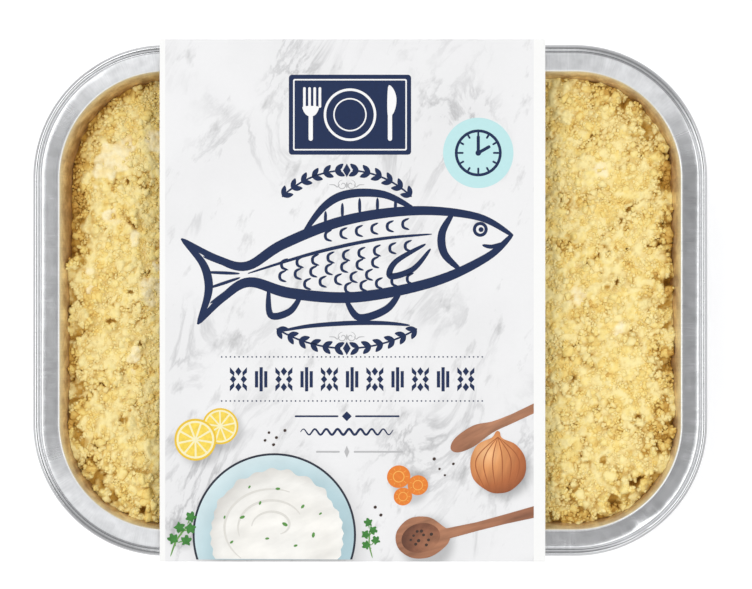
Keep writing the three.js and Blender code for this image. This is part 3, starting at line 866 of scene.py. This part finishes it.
# How far a printed point lies from the middle of a round thing, as a share of that thing's size.
rounding, given, end = new_group("printed_round", {"Centre": "Vector", "Reach": "Float"}, {"Share": "Float"})
flat = add(rounding, "VectorMath", add(rounding, "TexCoord", out="Object"), (1, 1, 3), (0, 0, -3 * SLEEVE_TOP),
           operation="MULTIPLY_ADD")
far = add(rounding, "VectorMath", flat, given["Centre"], out="Value", operation="DISTANCE")
wire(rounding, end, Share=add(rounding, "Math", far, given["Reach"], operation="DIVIDE"))


def board_surface(tree, colour, amount, strength, tooth, **constants):
    """A surface of board or ink: its colour is slightly uneven, and it has the tooth of the board."""
    mottle = add(tree, "Group", colour, amount, node_tree=mottling).node.outputs
    surface(tree, Base_Color=mottle["Colour"], **constants,
            Normal=add(tree, "Bump", Strength=strength, Distance=tooth, Height=mottle["Height"]))


# Places in the print that throw a soft shadow down to the right: (x, y, reach, depth), in mm.
SHADOWS = ((-25.4, -67.8, 23.8, 0.42), (37.6, -48.2, 8.3, 0.5), (16.0, -68.4, 8.2, 0.4), (-47.6, -40.5, 6.8, 0.32),
           (-41.0, -37.0, 6.0, 0.28), (11.4, -52.4, 5.6, 0.34), (29.4, -39.4, 4.4, 0.22), (-52.8, -65.5, 5.0, 0.22))

printed, tree = new_material("printed_carton")
place = add(tree, "TexCoord", out="Object")
cloud = add(tree, "TexNoise", place, Scale=30, Detail=5)
slant = add(tree, "Mapping", place, Rotation=(0, 0, math.radians(64)), Scale=(0.036, 0.016, 0.025),
            vector_type="TEXTURE")
vein = add(tree, "TexNoise", slant, Scale=1, Detail=6, Roughness=0.62, Distortion=0.7)
line = tints(tree, vein, (0.46, (1, 1, 1)), (0.5, (0.66, 0.66, 0.665)), (0.54, (1, 1, 1)))
veined = mix(tree, add(tree, "MapRange", cloud, 0.46, 0.66), (1, 1, 1, 1), line)
haze = add(tree, "MapRange", cloud, 0.42, 0.72, 1, 0.93)
# Small grey smudges in the marble.
smudge = add(tree, "TexNoise", slant, Scale=3.4, Detail=4, Roughness=0.6)
light = add(tree, "Math", haze, add(tree, "MapRange", smudge, 0.6, 0.76, 1, 0.7), operation="MULTIPLY")
for x, y, reach, depth in SHADOWS:
    under = add(tree, "Group", (x * MM, y * MM, 0), reach * MM, node_tree=rounding)
    shade = add(tree, "MapRange", under, 0.6, 1.2, 1 - depth, 1, interpolation_type="SMOOTHERSTEP")
    light = add(tree, "Math", light, shade, operation="MULTIPLY")
marble = add(tree, "VectorMath", veined, Scale=light, operation="SCALE")
white = add(tree, "VectorMath", marble, (0.777, 0.777, 0.779), operation="MULTIPLY")
# A plain margin stays along the two cut edges, 1.5 mm wide at the left and 3 mm at the right.
from_middle = add(tree, "Math", add(tree, "SeparateXYZ", place), 5.85 * MM)
margin = add(tree, "Math", add(tree, "Math", from_middle, operation="ABSOLUTE"), 51.85 * MM, operation="GREATER_THAN")
board_surface(tree, mix(tree, margin, white, (0.84, 0.84, 0.825, 1)), 0.03, 0.12, 0.03 * MM,
              Roughness=0.42, Specular_IOR_Level=0.4)

bare, tree = new_material("bare_board")
board_surface(tree, (0.74, 0.73, 0.70, 1), 0.25, 0.5, 0.05 * MM, Roughness=0.85, Specular_IOR_Level=0.2)

sleeve.data.materials.append(printed)
sleeve.data.materials.append(bare)
bpy.ops.object.modifier_apply(modifier="Solidify")
bpy.ops.object.shade_smooth_by_angle(angle=math.radians(40))
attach(sleeve, "root")
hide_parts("sleeve")

# Print in plain inks
# Offset printing on the top panel: a film of ink a few hundredths of a millimetre thick, in navy, aqua,
# grey and white. A fish, a dial, a plate with fork and knife, garlands, dotted lines and a knitted border.
INK = 0.018 * MM
# Shapes of one film start at slightly different heights, so that no two faces share a plane.
FILM_LIFT = 0.003 * MM
FILM_STEP = 0.0008 * MM
FILM_STEPS = 19


def smooth(points, steps=8, closed=False):
    """A soft line through points."""
    count = len(points)
    ends = range(count) if closed else range(count - 1)
    line = []
    for i in ends:
        a, b, c, d = (points[(i + k) % count if closed else min(max(i + k, 0), count - 1)] for k in (-1, 0, 1, 2))
        for step in range(steps):
            t = step / steps
            line.append(tuple(0.5 * (2 * b[j] + (c[j] - a[j]) * t + (2 * a[j] - 5 * b[j] + 4 * c[j] - d[j]) * t * t
                                     + (3 * b[j] - a[j] - 3 * c[j] + d[j]) * t ** 3) for j in range(2)))
    if not closed:
        line.append(tuple(points[-1][:2]))
    return line


def filled(points):
    """One area inside a closed line."""
    return list(points), [tuple(range(len(points)))]


def round_line(x, y, radius, count=48, flat=1.0, turn=0.0):
    """A closed circle or ellipse."""
    c, s = math.cos(math.radians(turn)), math.sin(math.radians(turn))
    around = [(radius * math.cos(2 * math.pi * i / count), radius * flat * math.sin(2 * math.pi * i / count))
              for i in range(count)]
    return [(x + u * c - v * s, y + u * s + v * c) for u, v in around]


def band(outer, inner):
    """The area between two closed lines of as many points."""
    n = len(outer)
    return list(outer) + list(inner), [(i, (i + 1) % n, n + (i + 1) % n, n + i) for i in range(n)]


def stroke(points, wide, steps=8, thin_ends=True):
    """A brush stroke along points: widest in the middle, round or thin at its ends."""
    line = smooth(points, steps)
    left, right = [], []
    for i, (x, y) in enumerate(line):
        (ax, ay), (bx, by) = line[max(i - 1, 0)], line[min(i + 1, len(line) - 1)]
        length = math.hypot(bx - ax, by - ay) or 1
        nx, ny = (ay - by) / length, (bx - ax) / length
        part = i / (len(line) - 1)
        press = (0.25 + 0.75 * math.sin(math.pi * part) ** 0.6) if thin_ends else 1
        left.append((x + nx * wide * press / 2, y + ny * wide * press / 2))
        right.append((x - nx * wide * press / 2, y - ny * wide * press / 2))
    n = len(line)
    corners, faces = left + right, [(i, i + 1, n + i + 1, n + i) for i in range(n - 1)]
    for end, way in ((0, -1), (n - 1, 1)):
        (lx, ly), (rx, ry) = left[end], right[end]
        mx, my, half = (lx + rx) / 2, (ly + ry) / 2, math.hypot(lx - rx, ly - ry) / 2
        start = math.atan2(ly - my, lx - mx)
        turns = [start - way * math.pi * k / 6 for k in range(1, 6)]
        cap = [(mx + half * math.cos(turn), my + half * math.sin(turn)) for turn in turns]
        base = len(corners)
        corners += cap
        faces.append((end, *range(base, base + 5), n + end))
    return corners, faces


def moved(shapes, x=0.0, y=0.0, turn=0.0, size=1.0, mirror=1.0):
    """The same shapes at another place."""
    c, s = math.cos(math.radians(turn)) * size, math.sin(math.radians(turn)) * size
    return [([(x + u * mirror * c - v * s, y + u * mirror * s + v * c) for u, v in corners], faces)
            for corners, faces in shapes]


def print_on(name, level, shapes, ink):
    """Lays flat shapes on the top panel as one film of ink; a higher level lies over the lower ones."""
    corners, faces = [], []
    for number, (points, areas) in enumerate(shapes):
        base, lift = len(corners), FILM_LIFT + FILM_STEP * (number % FILM_STEPS)
        corners += [(u * MM, v * MM, SLEEVE_TOP + lift) for u, v in points]
        faces += [tuple(base + i for i in area) for area in areas]
    data = bpy.data.meshes.new(name)
    data.from_pydata(corners, [], faces)
    film = bpy.data.objects.new(name, data)
    scene.collection.objects.link(film)
    pick(film)
    bpy.ops.object.mode_set(mode="EDIT")
    bpy.ops.mesh.select_all(action="SELECT")
    pull(0, 0, INK * (level + 1))
    face_out(film)
    bpy.ops.object.mode_set(mode="OBJECT")
    data.materials.append(ink)
    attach(film, "root")
    return film


def plain_ink(name, colour, amount=0.12):
    """An ink of one colour with the slight unevenness of offset print."""
    ink, tree = new_material(name)
    board_surface(tree, (*colour, 1), amount, 0.12, 0.03 * MM, Roughness=0.4, Specular_IOR_Level=0.35)
    return ink


navy = plain_ink("navy_ink", (0.003, 0.016, 0.068), 0.35)
aqua = plain_ink("aqua_ink", (0.47, 0.72, 0.73), 0.05)
grey = plain_ink("grey_ink", (0.45, 0.45, 0.455), 0.08)
white_ink = plain_ink("white_ink", (0.83, 0.83, 0.83), 0.03)

# Fish drawn with a broad brush, nose up to the right.
fish = [stroke([(46, 0), (37, 6.6), (20, 10.8), (0, 11), (-18, 7), (-29, 2.4), (-37, 5.6), (-46, 12.5)], 2.9),
        stroke([(46, 0), (38, -5.2), (22, -9.8), (0, -10.8), (-18, -7), (-29, -2.2), (-37, -5.4), (-45, -11.5)], 3.1),
        stroke([(-46, 12.5), (-41.5, 5.5), (-40.4, 0), (-41.5, -5), (-45, -11.5)], 2.4),
        stroke([(30.5, 8.6), (26.6, 3.4), (26.4, -2.4), (30.2, -7.6)], 2.3),
        stroke([(43.6, -1.8), (40, -2.4), (37.4, -1.6)], 1.2),
        stroke([(20, 11.2), (12, 16.6), (2, 18.2), (-5, 15.8), (-12, 9.2)], 2.4),
        stroke([(13, -10.6), (8, -15.4), (0, -16.6), (-3, -10.9)], 2.2),
        stroke([(-15, -7.8), (-19, -12), (-24.5, -12.2), (-24, -4.9)], 2.0),
        stroke([(22.6, -0.6), (17, -5.4), (10.5, -6.4), (12.5, -2.6), (21.4, 1)], 1.8),
        stroke([(23.6, 3.6), (8, 4.4), (-10, 3.2), (-29, 0.3)], 1.0)]
fish += [stroke([(u, v), (u + 0.6, v + 4.4 - abs(u - 4) * 0.09)], 0.9) for u, v in
         ((14.5, 11.4), (9.5, 12), (4.5, 12.2), (-0.5, 11.9), (-5.5, 10.8))]
fish += [stroke([(-31.5, v * 0.25), (-36, v * 0.62), (-40.8, v)], 0.9) for v in (6.8, 2.4, -2.2, -6.4)]
SCALES = ((7.4, 18, -8), (1.2, 20, -20), (-2.0, 8, -22), (-5.2, 8, -14), (-8.0, 17, -2))
for row, (v, u, last) in enumerate(SCALES):
    u -= (row % 2) * 2.2
    while u > last:
        fish.append(stroke([(u, v + 1.5), (u - 1.7, v + 0.9), (u - 1.9, v - 0.7), (u - 0.4, v - 1.6)], 0.85, 4))
        u -= 4.4
fish += [band(round_line(37.4, 2.9, 2.1, 32), round_line(37.4, 2.9, 1.2, 32)), filled(round_line(37.6, 2.8, 0.7, 20))]
fish = moved(fish, -5.6, 11.6, 8.5)
underline = [stroke([(-25, -8.6), (-17, -7.2), (-6, -6.4), (4, -6.4), (11, -7.0)], 1.3)]

# Garlands of small leaves over and under the fish.
garland = []
for middle_y, radius, way, spread in ((10.6, 26.0, 1, 44), (24.5, 38.0, -1, 31)):
    for i in range(-6, 7):
        turn = i / 6 * spread
        x = -6.6 + radius * math.sin(math.radians(turn))
        y = middle_y + way * radius * math.cos(math.radians(turn))
        lean = -way * turn
        if i == 0:
            garland.append(filled([(x, y - 1.9), (x + 1.1, y), (x, y + 1.9), (x - 1.1, y)]))
            continue
        side = 1 if i > 0 else -1
        for tilt in (34, -34):
            leaf = [(0, 0), (0.9, 0.62), (2.0, 0.66), (3.1, 0), (2.0, -0.66), (0.9, -0.62)]
            shape = filled(smooth(leaf, 4, True))
            garland += moved([shape], x, y, lean + tilt + (180 if side > 0 else 0))
    arc_line = [(-6.6 + radius * math.sin(math.radians(t)), middle_y + way * radius * math.cos(math.radians(t)))
                for t in range(-spread, spread + 1, 2)]
    half = len(arc_line) // 2
    garland += [stroke(arc_line[:half - 1], 0.5, 1, False), stroke(arc_line[half + 2:], 0.5, 1, False)]

# Border of knitted stars and bars between dotted lines.
star = [filled([(0, 3.4), (0.9, 2.2), (0, 1.0), (-0.9, 2.2)]),
        filled([(0, -3.4), (0.9, -2.2), (0, -1.0), (-0.9, -2.2)]),
        filled([(2.4, 0), (1.5, 1.1), (0.6, 0), (1.5, -1.1)]),
        filled([(-2.4, 0), (-1.5, 1.1), (-0.6, 0), (-1.5, -1.1)])]
star += [filled([(s * 2.4, t * 3.4), (s * 2.4, t * 1.9), (s * 1.2, t * 0.9), (s * 1.1, t * 2.0)])
         for s in (1, -1) for t in (1, -1)]
bars = [filled([(u - 0.45, -3.4 + 1.1 * abs(u) / 1.3), (u + 0.45, -3.4 + 1.1 * abs(u) / 1.3),
                (u + 0.45, 3.4 - 1.1 * abs(u) / 1.3), (u - 0.45, 3.4 - 1.1 * abs(u) / 1.3)]) for u in (-1.3, 0, 1.3)]
border = []
for i in range(11):
    border += moved(star if i % 2 == 0 else bars, -37.1 + i * 6.4, -22.2)
for y in (-15.9, -28.3):
    border += [filled(round_line(-41.8 + i * 1.222, y, 0.22, 10)) for i in range(61)]

# Rules under the border: small waves and a thin line with a lozenge.
rules = [stroke([(-19.6 + 0.5 * k, -37.0 + 0.8 * math.sin(0.98 * k)) for k in range(53)], 0.7, 3)]
rules += [stroke([(-21, -32.6), (-9.2, -32.6)], 0.5, 4, False), stroke([(-4.0, -32.6), (8, -32.6)], 0.5, 4, False),
          filled([(-6.6, -31.2), (-5.2, -32.6), (-6.6, -34.0), (-8.0, -32.6)])]

# Dial with a ring, ticks and two hands.
dial = [band(round_line(30.4, 41.5, 6.6, 48), round_line(30.4, 41.5, 5.8, 48)),
        stroke([(30.4, 41.5), (30.4, 46.0)], 0.9, 2, False), stroke([(30.4, 41.5), (33.4, 43.2)], 0.9, 2, False),
        filled(round_line(30.4, 41.5, 0.8, 16))]
for i in range(12):
    c, s = math.cos(math.pi * i / 6), math.sin(math.pi * i / 6)
    start = 4.4 if i % 3 == 0 else 4.9
    dial.append(stroke([(30.4 + start * c, 41.5 + start * s), (30.4 + 5.6 * c, 41.5 + 5.6 * s)], 0.55, 2, False))

# Panel with a thin frame, and on it a plate between a fork and a knife.
def rounded(x0, y0, x1, y1, radius, steps=6):
    """A closed rectangle with round corners."""
    line = []
    for cx, cy, start in ((x1 - radius, y1 - radius, 0), (x0 + radius, y1 - radius, 90),
                          (x0 + radius, y0 + radius, 180), (x1 - radius, y0 + radius, 270)):
        turns = [math.radians(start + 90 * k / steps) for k in range(steps + 1)]
        line += [(cx + radius * math.cos(turn), cy + radius * math.sin(turn)) for turn in turns]
    return line


panel = [filled(rounded(-22.9, 41.0, 11.5, 63.5, 0.9))]
table_setting = [band(rounded(-21.7, 42.2, 10.3, 62.3, 0.5), rounded(-21.3, 42.6, 9.9, 61.9, 0.3)),
                 band(round_line(-5.7, 52.25, 7.4, 64), round_line(-5.7, 52.25, 6.7, 64)),
                 band(round_line(-5.7, 52.25, 4.7, 64), round_line(-5.7, 52.25, 4.3, 64)),
                 filled(rounded(-17.35, 44.9, -16.15, 53.2, 0.6)),
                 filled(smooth([(-18.9, 53.6), (-18.0, 52.2), (-16.75, 51.8), (-15.5, 52.2), (-14.6, 53.6),
                                (-14.8, 54.6), (-18.7, 54.6)], 4, True)),
                 filled(rounded(4.95, 44.9, 6.15, 53.2, 0.6)),
                 filled(smooth([(4.9, 52.2), (6.2, 52.2), (7.2, 54.6), (7.3, 57.4), (6.3, 59.8), (5.0, 60.0)],
                               4, True))]
table_setting += [filled(rounded(-18.9 + 1.45 * i, 54.2, -18.15 + 1.45 * i, 60.0, 0.35)) for i in range(4)]

# Two small scroll ornaments.
scroll = []
for side in (1, -1):
    curl = [(side * (0.35 + (0.35 + 0.30 * t / 90) * math.cos(math.radians(t)) + 1.1),
             0.05 + (0.35 + 0.30 * t / 90) * math.sin(math.radians(t))) for t in range(0, 470, 30)]
    scroll.append(stroke(curl, 0.34, 2))
    scroll.append(stroke([(side * 2.5, 0.35), (side * 3.3, -0.6), (side * 4.4, 0.1), (side * 6.2, 0.2)], 0.4, 6))
scroll.append(filled([(0, 1.2), (0.5, 0), (0, -1.2), (-0.5, 0)]))

print_on("print_panel", 0, panel, navy)
print_on("print_plate_fork_knife", 1, table_setting, white_ink)
print_on("print_badge", 0, [filled(round_line(30.4, 41.5, 9.9, 72))], aqua)
print_on("print_dial", 1, dial, navy)
print_on("print_fish", 0, fish + underline, navy)
print_on("print_garlands", 0, garland, navy)
print_on("print_border", 0, border, navy)
print_on("print_rules", 0, rules, navy)
print_on("print_scrolls", 0, moved(scroll, -6.6, 32.4, size=0.8) + moved(scroll, -6.6, -10.4, size=0.8, mirror=-1.0)
         + [stroke([(-15, -42.6), (-8.8, -42.6)], 0.5, 4, False), stroke([(-4.4, -42.6), (9, -42.6)], 0.5, 4, False)]
         + moved(scroll[-1:], -6.6, -42.6, size=1.4), grey)

# Print of kitchen things
# The lower part of the top panel shows things seen from above, in the same film of ink, each with its own
# light and shade: a bowl of white sauce, a wooden spoon and butter knife, an onion, lemon, carrot and herbs.


def shaded_ink(name, centre, reach, stops, scale=900, amount=0.2, stretch=(0, 1, 1)):
    """An ink whose colour runs with the distance from a centre, with a mottle that may be stretched."""
    ink, tree = new_material(name)
    far = add(tree, "Group", (centre[0] * MM, centre[1] * MM, 0), reach * MM, node_tree=rounding)
    turn, long, short = stretch
    along = add(tree, "Mapping", add(tree, "TexCoord", out="Object"), Rotation=(0, 0, math.radians(turn)),
                Scale=(long, short, short), vector_type="TEXTURE")
    mottle = add(tree, "TexNoise", along, Scale=scale, Detail=4)
    swing = add(tree, "MapRange", mottle, 0.3, 0.7, 1 - amount, 1 + amount)
    tinted = add(tree, "VectorMath", tints(tree, far, *stops), Scale=swing, operation="SCALE")
    surface(tree, Base_Color=tinted, Roughness=0.4, Specular_IOR_Level=0.35)
    return ink


def cut_round(x, y, radius, floor_y, count=96):
    """A closed circle cut off along a straight line at its lower side."""
    start = math.asin(max(-1.0, (floor_y - y) / radius))
    return [(x + radius * math.cos(start + (math.pi - 2 * start) * i / count),
             y + radius * math.sin(start + (math.pi - 2 * start) * i / count)) for i in range(count + 1)]


# Bowl of white sauce with herbs, cut off by the front fold.
EDGE = -72.9
bowl_x, bowl_y = -27.0, -66.0
glaze = shaded_ink("bowl_glaze_ink", (bowl_x + 4, bowl_y - 6), 30,
                   ((0.3, (0.30, 0.44, 0.49)), (0.72, (0.42, 0.57, 0.61)), (1.0, (0.62, 0.74, 0.76))), 120, 0.06)
sauce_ink = shaded_ink("white_sauce_ink", (bowl_x + 3, bowl_y - 3), 22,
                       ((0.0, (0.82, 0.81, 0.77)), (0.55, (0.78, 0.765, 0.72)), (0.8, (0.80, 0.79, 0.75)),
                        (1.0, (0.60, 0.585, 0.55))), 190, 0.1, (20, 1.8, 0.9))
sauce_line = []
for px, py in cut_round(bowl_x + 0.4, bowl_y - 0.3, 18.6, EDGE):
    ripple = 1 + 0.02 * math.sin(px * 1.3) + 0.015 * math.sin(py * 2.1 + 1)
    sauce_line.append((bowl_x + (px - bowl_x) * ripple, max(EDGE, bowl_y + (py - bowl_y) * ripple)))
swirls = []
for ring in range(3):
    swirls.append(stroke([(bowl_x + (4.2 + 4.3 * ring + 0.012 * t) * math.cos(math.radians(t + 40 * ring)),
                           bowl_y + 2.5 + (3.1 + 3.6 * ring + 0.01 * t) * math.sin(math.radians(t + 40 * ring)))
                          for t in range(-10 if ring else -60, 181 - 14 * ring, 10)], 0.7))
herb_bits = [filled(round_line(bowl_x + u, bowl_y + v, r, 7, 0.55, t)) for u, v, r, t in
             ((-9, 5, 0.8, 20), (-4, 9, 0.6, 70), (3, 3, 0.9, -30), (8, 8, 0.7, 50), (-2, -1, 0.6, 10),
              (11, 0, 0.8, 80), (-12, -2, 0.6, 40), (1, 13, 0.7, 0), (-7, 13.5, 0.5, 60), (6, -3, 0.6, 15),
              (13, 6, 0.5, 35), (-14, 5, 0.5, 75))]
print_on("print_bowl_rim", 0, [filled(cut_round(bowl_x, bowl_y, 23.0, EDGE))],
         plain_ink("bowl_edge_ink", (0.02, 0.025, 0.04)))
print_on("print_bowl", 1, [filled(cut_round(bowl_x, bowl_y, 22.4, EDGE))], glaze)
print_on("print_sauce", 2, [filled(sauce_line)], sauce_ink)
print_on("print_sauce_swirl", 3, swirls, plain_ink("sauce_shade_ink", (0.66, 0.645, 0.60), 0.1))

# Wooden spoon with dark spices in it, and a wooden butter knife, both cut off at the right.
spoon_wood = shaded_ink("spoon_wood_ink", (20, -60), 34,
                        ((0.0, (0.40, 0.185, 0.10)), (0.45, (0.30, 0.13, 0.07)), (1.0, (0.22, 0.085, 0.045))),
                        300, 0.28, (15, 3.0, 0.5))
hollow_wood = shaded_ink("spoon_hollow_ink", (17.5, -69), 10,
                         ((0.0, (0.34, 0.15, 0.08)), (0.5, (0.22, 0.085, 0.045)), (1.0, (0.07, 0.026, 0.016))),
                         500, 0.2)
spoon = [filled(smooth([(20.6, -63.6), (16.5, -61.0), (11, -61.4), (7.4, -65.2), (7.8, -69.6), (11.6, -72.4),
                        (16.8, -72.2), (21.2, -69.2), (22.6, -66.6), (22.6, -65.0)], 6, True)),
         filled([(21.6, -67.2), (30, -64.9), (38, -62.9), (46, -61.2), (46, -57.9), (38, -60.2),
                 (30, -62.4), (21.2, -64.2)])]
print_on("print_spoon", 2, spoon, spoon_wood)
print_on("print_spoon_hollow", 3, [filled(round_line(14.2, -66.8, 5.5, 40, 0.74, 15))], hollow_wood)
knife_wood = shaded_ink("knife_wood_ink", (36, -33), 20,
                        ((0.0, (0.42, 0.20, 0.11)), (0.6, (0.34, 0.15, 0.08)), (1.0, (0.25, 0.10, 0.055))),
                        300, 0.28, (27, 3.0, 0.5))
knife = [filled(smooth([(46, -31.8), (40, -34.6), (34.5, -37.2), (29, -41.2), (24.6, -42.8), (22.6, -41.6), (24, -38.6),
                        (29, -35.2), (34.5, -34.0), (40, -31.9)], 6)[:-1] + [(40, -31.9), (46, -29.0)])]
print_on("print_butter_knife", 1, knife, knife_wood)

# Onion with its tip and the veins of its skin.
skin = shaded_ink("onion_skin_ink", (33.0, -43.0), 14,
                  ((0.0, (0.80, 0.46, 0.22)), (0.3, (0.66, 0.28, 0.10)), (0.65, (0.42, 0.13, 0.04)),
                   (1.0, (0.16, 0.04, 0.015))), 260, 0.16, (80, 3.0, 0.5))
onion = [filled(smooth([(35.4, -36.9), (34.2, -38.6), (30.2, -40.6), (28.2, -45.0), (29.0, -50.2), (33.0, -53.6),
                        (36.4, -54.3), (40.0, -53.2), (43.4, -49.4), (43.6, -44.4), (41.0, -40.6), (37.2, -38.8),
                        (36.4, -37.0)], 6, True))]
veins = [stroke([(35.9, -38.4), (35.9 + 7.2 * s * 0.82, -43.0), (35.9 + 7.2 * s, -47.0), (36.2 + 4.6 * s, -53.0)], 0.3)
         for s in (-0.86, -0.55, -0.2, 0.18, 0.52, 0.84)]
print_on("print_onion", 2, onion, skin)
print_on("print_onion_veins", 3, veins, plain_ink("onion_vein_ink", (0.34, 0.10, 0.03)))

# Two slices of lemon, one lying on the other.
rind, pith, flesh = [], [], []
for x, y, radius, turn in ((-42.2, -35.4, 5.1, 12), (-49.2, -39.2, 5.9, 31)):
    rind.append(filled(round_line(x, y, radius, 56)))
    pith.append(filled(round_line(x, y, radius * 0.9, 56)))
    for i in range(9):
        start, stop = math.radians(turn + 40 * i + 3.5), math.radians(turn + 40 * i + 36.5)
        middle = (start + stop) / 2
        wedge = [(x + 0.13 * radius * math.cos(middle), y + 0.13 * radius * math.sin(middle))]
        wedge += [(x + 0.8 * radius * math.cos(start + (stop - start) * k / 6),
                   y + 0.8 * radius * math.sin(start + (stop - start) * k / 6)) for k in range(7)]
        flesh.append(filled(wedge))
lemon_rind = plain_ink("lemon_rind_ink", (0.76, 0.50, 0.035))
lemon_pith = plain_ink("lemon_pith_ink", (0.84, 0.78, 0.48), 0.08)
lemon_flesh = plain_ink("lemon_flesh_ink", (0.83, 0.61, 0.085), 0.5)
for order in (0, 1):
    print_on("print_lemon_rind_%d" % order, 3 * order, rind[order:order + 1], lemon_rind)
    print_on("print_lemon_pith_%d" % order, 3 * order + 1, pith[order:order + 1], lemon_pith)
    print_on("print_lemon_flesh_%d" % order, 3 * order + 2, moved(flesh[9 * order:9 * order + 9]), lemon_flesh)

# Carrot coins, peppercorns and two sprigs of parsley.
coins, hearts = [], []
for x, y, radius in ((8.0, -49.6, 3.3), (13.4, -52.0, 2.9), (9.2, -55.2, 2.6)):
    coins.append(filled(round_line(x, y, radius, 40, 0.96, 20)))
    hearts.append(band(round_line(x, y, radius * 0.5, 24), round_line(x, y, radius * 0.42, 24)))
    hearts += [stroke([(x + radius * 0.55 * math.cos(t), y + radius * 0.55 * math.sin(t)),
                       (x + radius * 0.84 * math.cos(t), y + radius * 0.84 * math.sin(t))], 0.14, 2)
               for t in (math.radians(a) for a in range(0, 360, 40))]
print_on("print_carrot", 1, coins, plain_ink("carrot_ink", (0.72, 0.20, 0.025), 0.3))
print_on("print_carrot_heart", 2, hearts, plain_ink("carrot_heart_ink", (0.84, 0.42, 0.09), 0.2))
corn_chance = random.Random(3)
corns = [filled(round_line(x, y, corn_chance.uniform(0.34, 0.52), 12, 0.9, 30)) for x, y in
         ((-28.5, -37.2), (-26.4, -38.6), (-29.6, -39.4), (-24.0, -36.6), (-27.2, -40.6), (19.5, -47.4), (21.0, -49.2),
          (18.0, -44.6), (23.4, -46.0), (12.2, -66.2), (13.6, -67.6), (15.0, -66.0), (14.4, -64.9), (16.4, -67.4),
          (12.8, -68.6), (11.4, -67.4), (15.8, -68.8), (17.2, -65.8), (13.2, -65.0), (1.4, -58.2), (3.0, -60.4))]
print_on("print_peppercorns", 4, corns, plain_ink("pepper_ink", (0.045, 0.025, 0.018), 0.6))
sprigs, leaves = [], []
for x, y, turn, size in ((-56.2, -72.0, 62, 1.0), (0.6, -72.4, 96, 0.8)):
    stem = stroke([(0, 0), (5, 0.6), (10.5, -0.4)], 0.5)
    sprigs += moved([stem], x, y, turn, size)
    for base, lean, long in ((3.2, 50, 3.2), (4.4, -48, 3.4), (6.8, 44, 3.0), (8.0, -40, 2.8), (10.2, 4, 3.2)):
        c, s = math.cos(math.radians(lean)), math.sin(math.radians(lean))
        leaf = []
        for k in range(24):
            t = 2 * math.pi * k / 24
            reach = 1.35 * (1 + 0.24 * math.cos(5 * t) + 0.1 * math.cos(9 * t + base))
            u, v = long * 0.72 + reach * math.cos(t), reach * math.sin(t)
            leaf.append((base + u * c - v * s, u * s + v * c))
        leaves += moved([filled(leaf)], x, y, turn, size)
        sprigs += moved([stroke([(base, 0), (base + long * 0.7 * c, long * 0.7 * s)], 0.35, 4)], x, y, turn, size)
print_on("print_parsley_leaves", 2.5, leaves, plain_ink("parsley_ink", (0.045, 0.20, 0.035), 0.9))
print_on("print_parsley_stems", 1.5, sprigs, plain_ink("stem_ink", (0.13, 0.30, 0.07), 0.3))
print_on("print_herb_bits", 4, herb_bits, plain_ink("herb_ink", (0.10, 0.27, 0.06), 0.5))
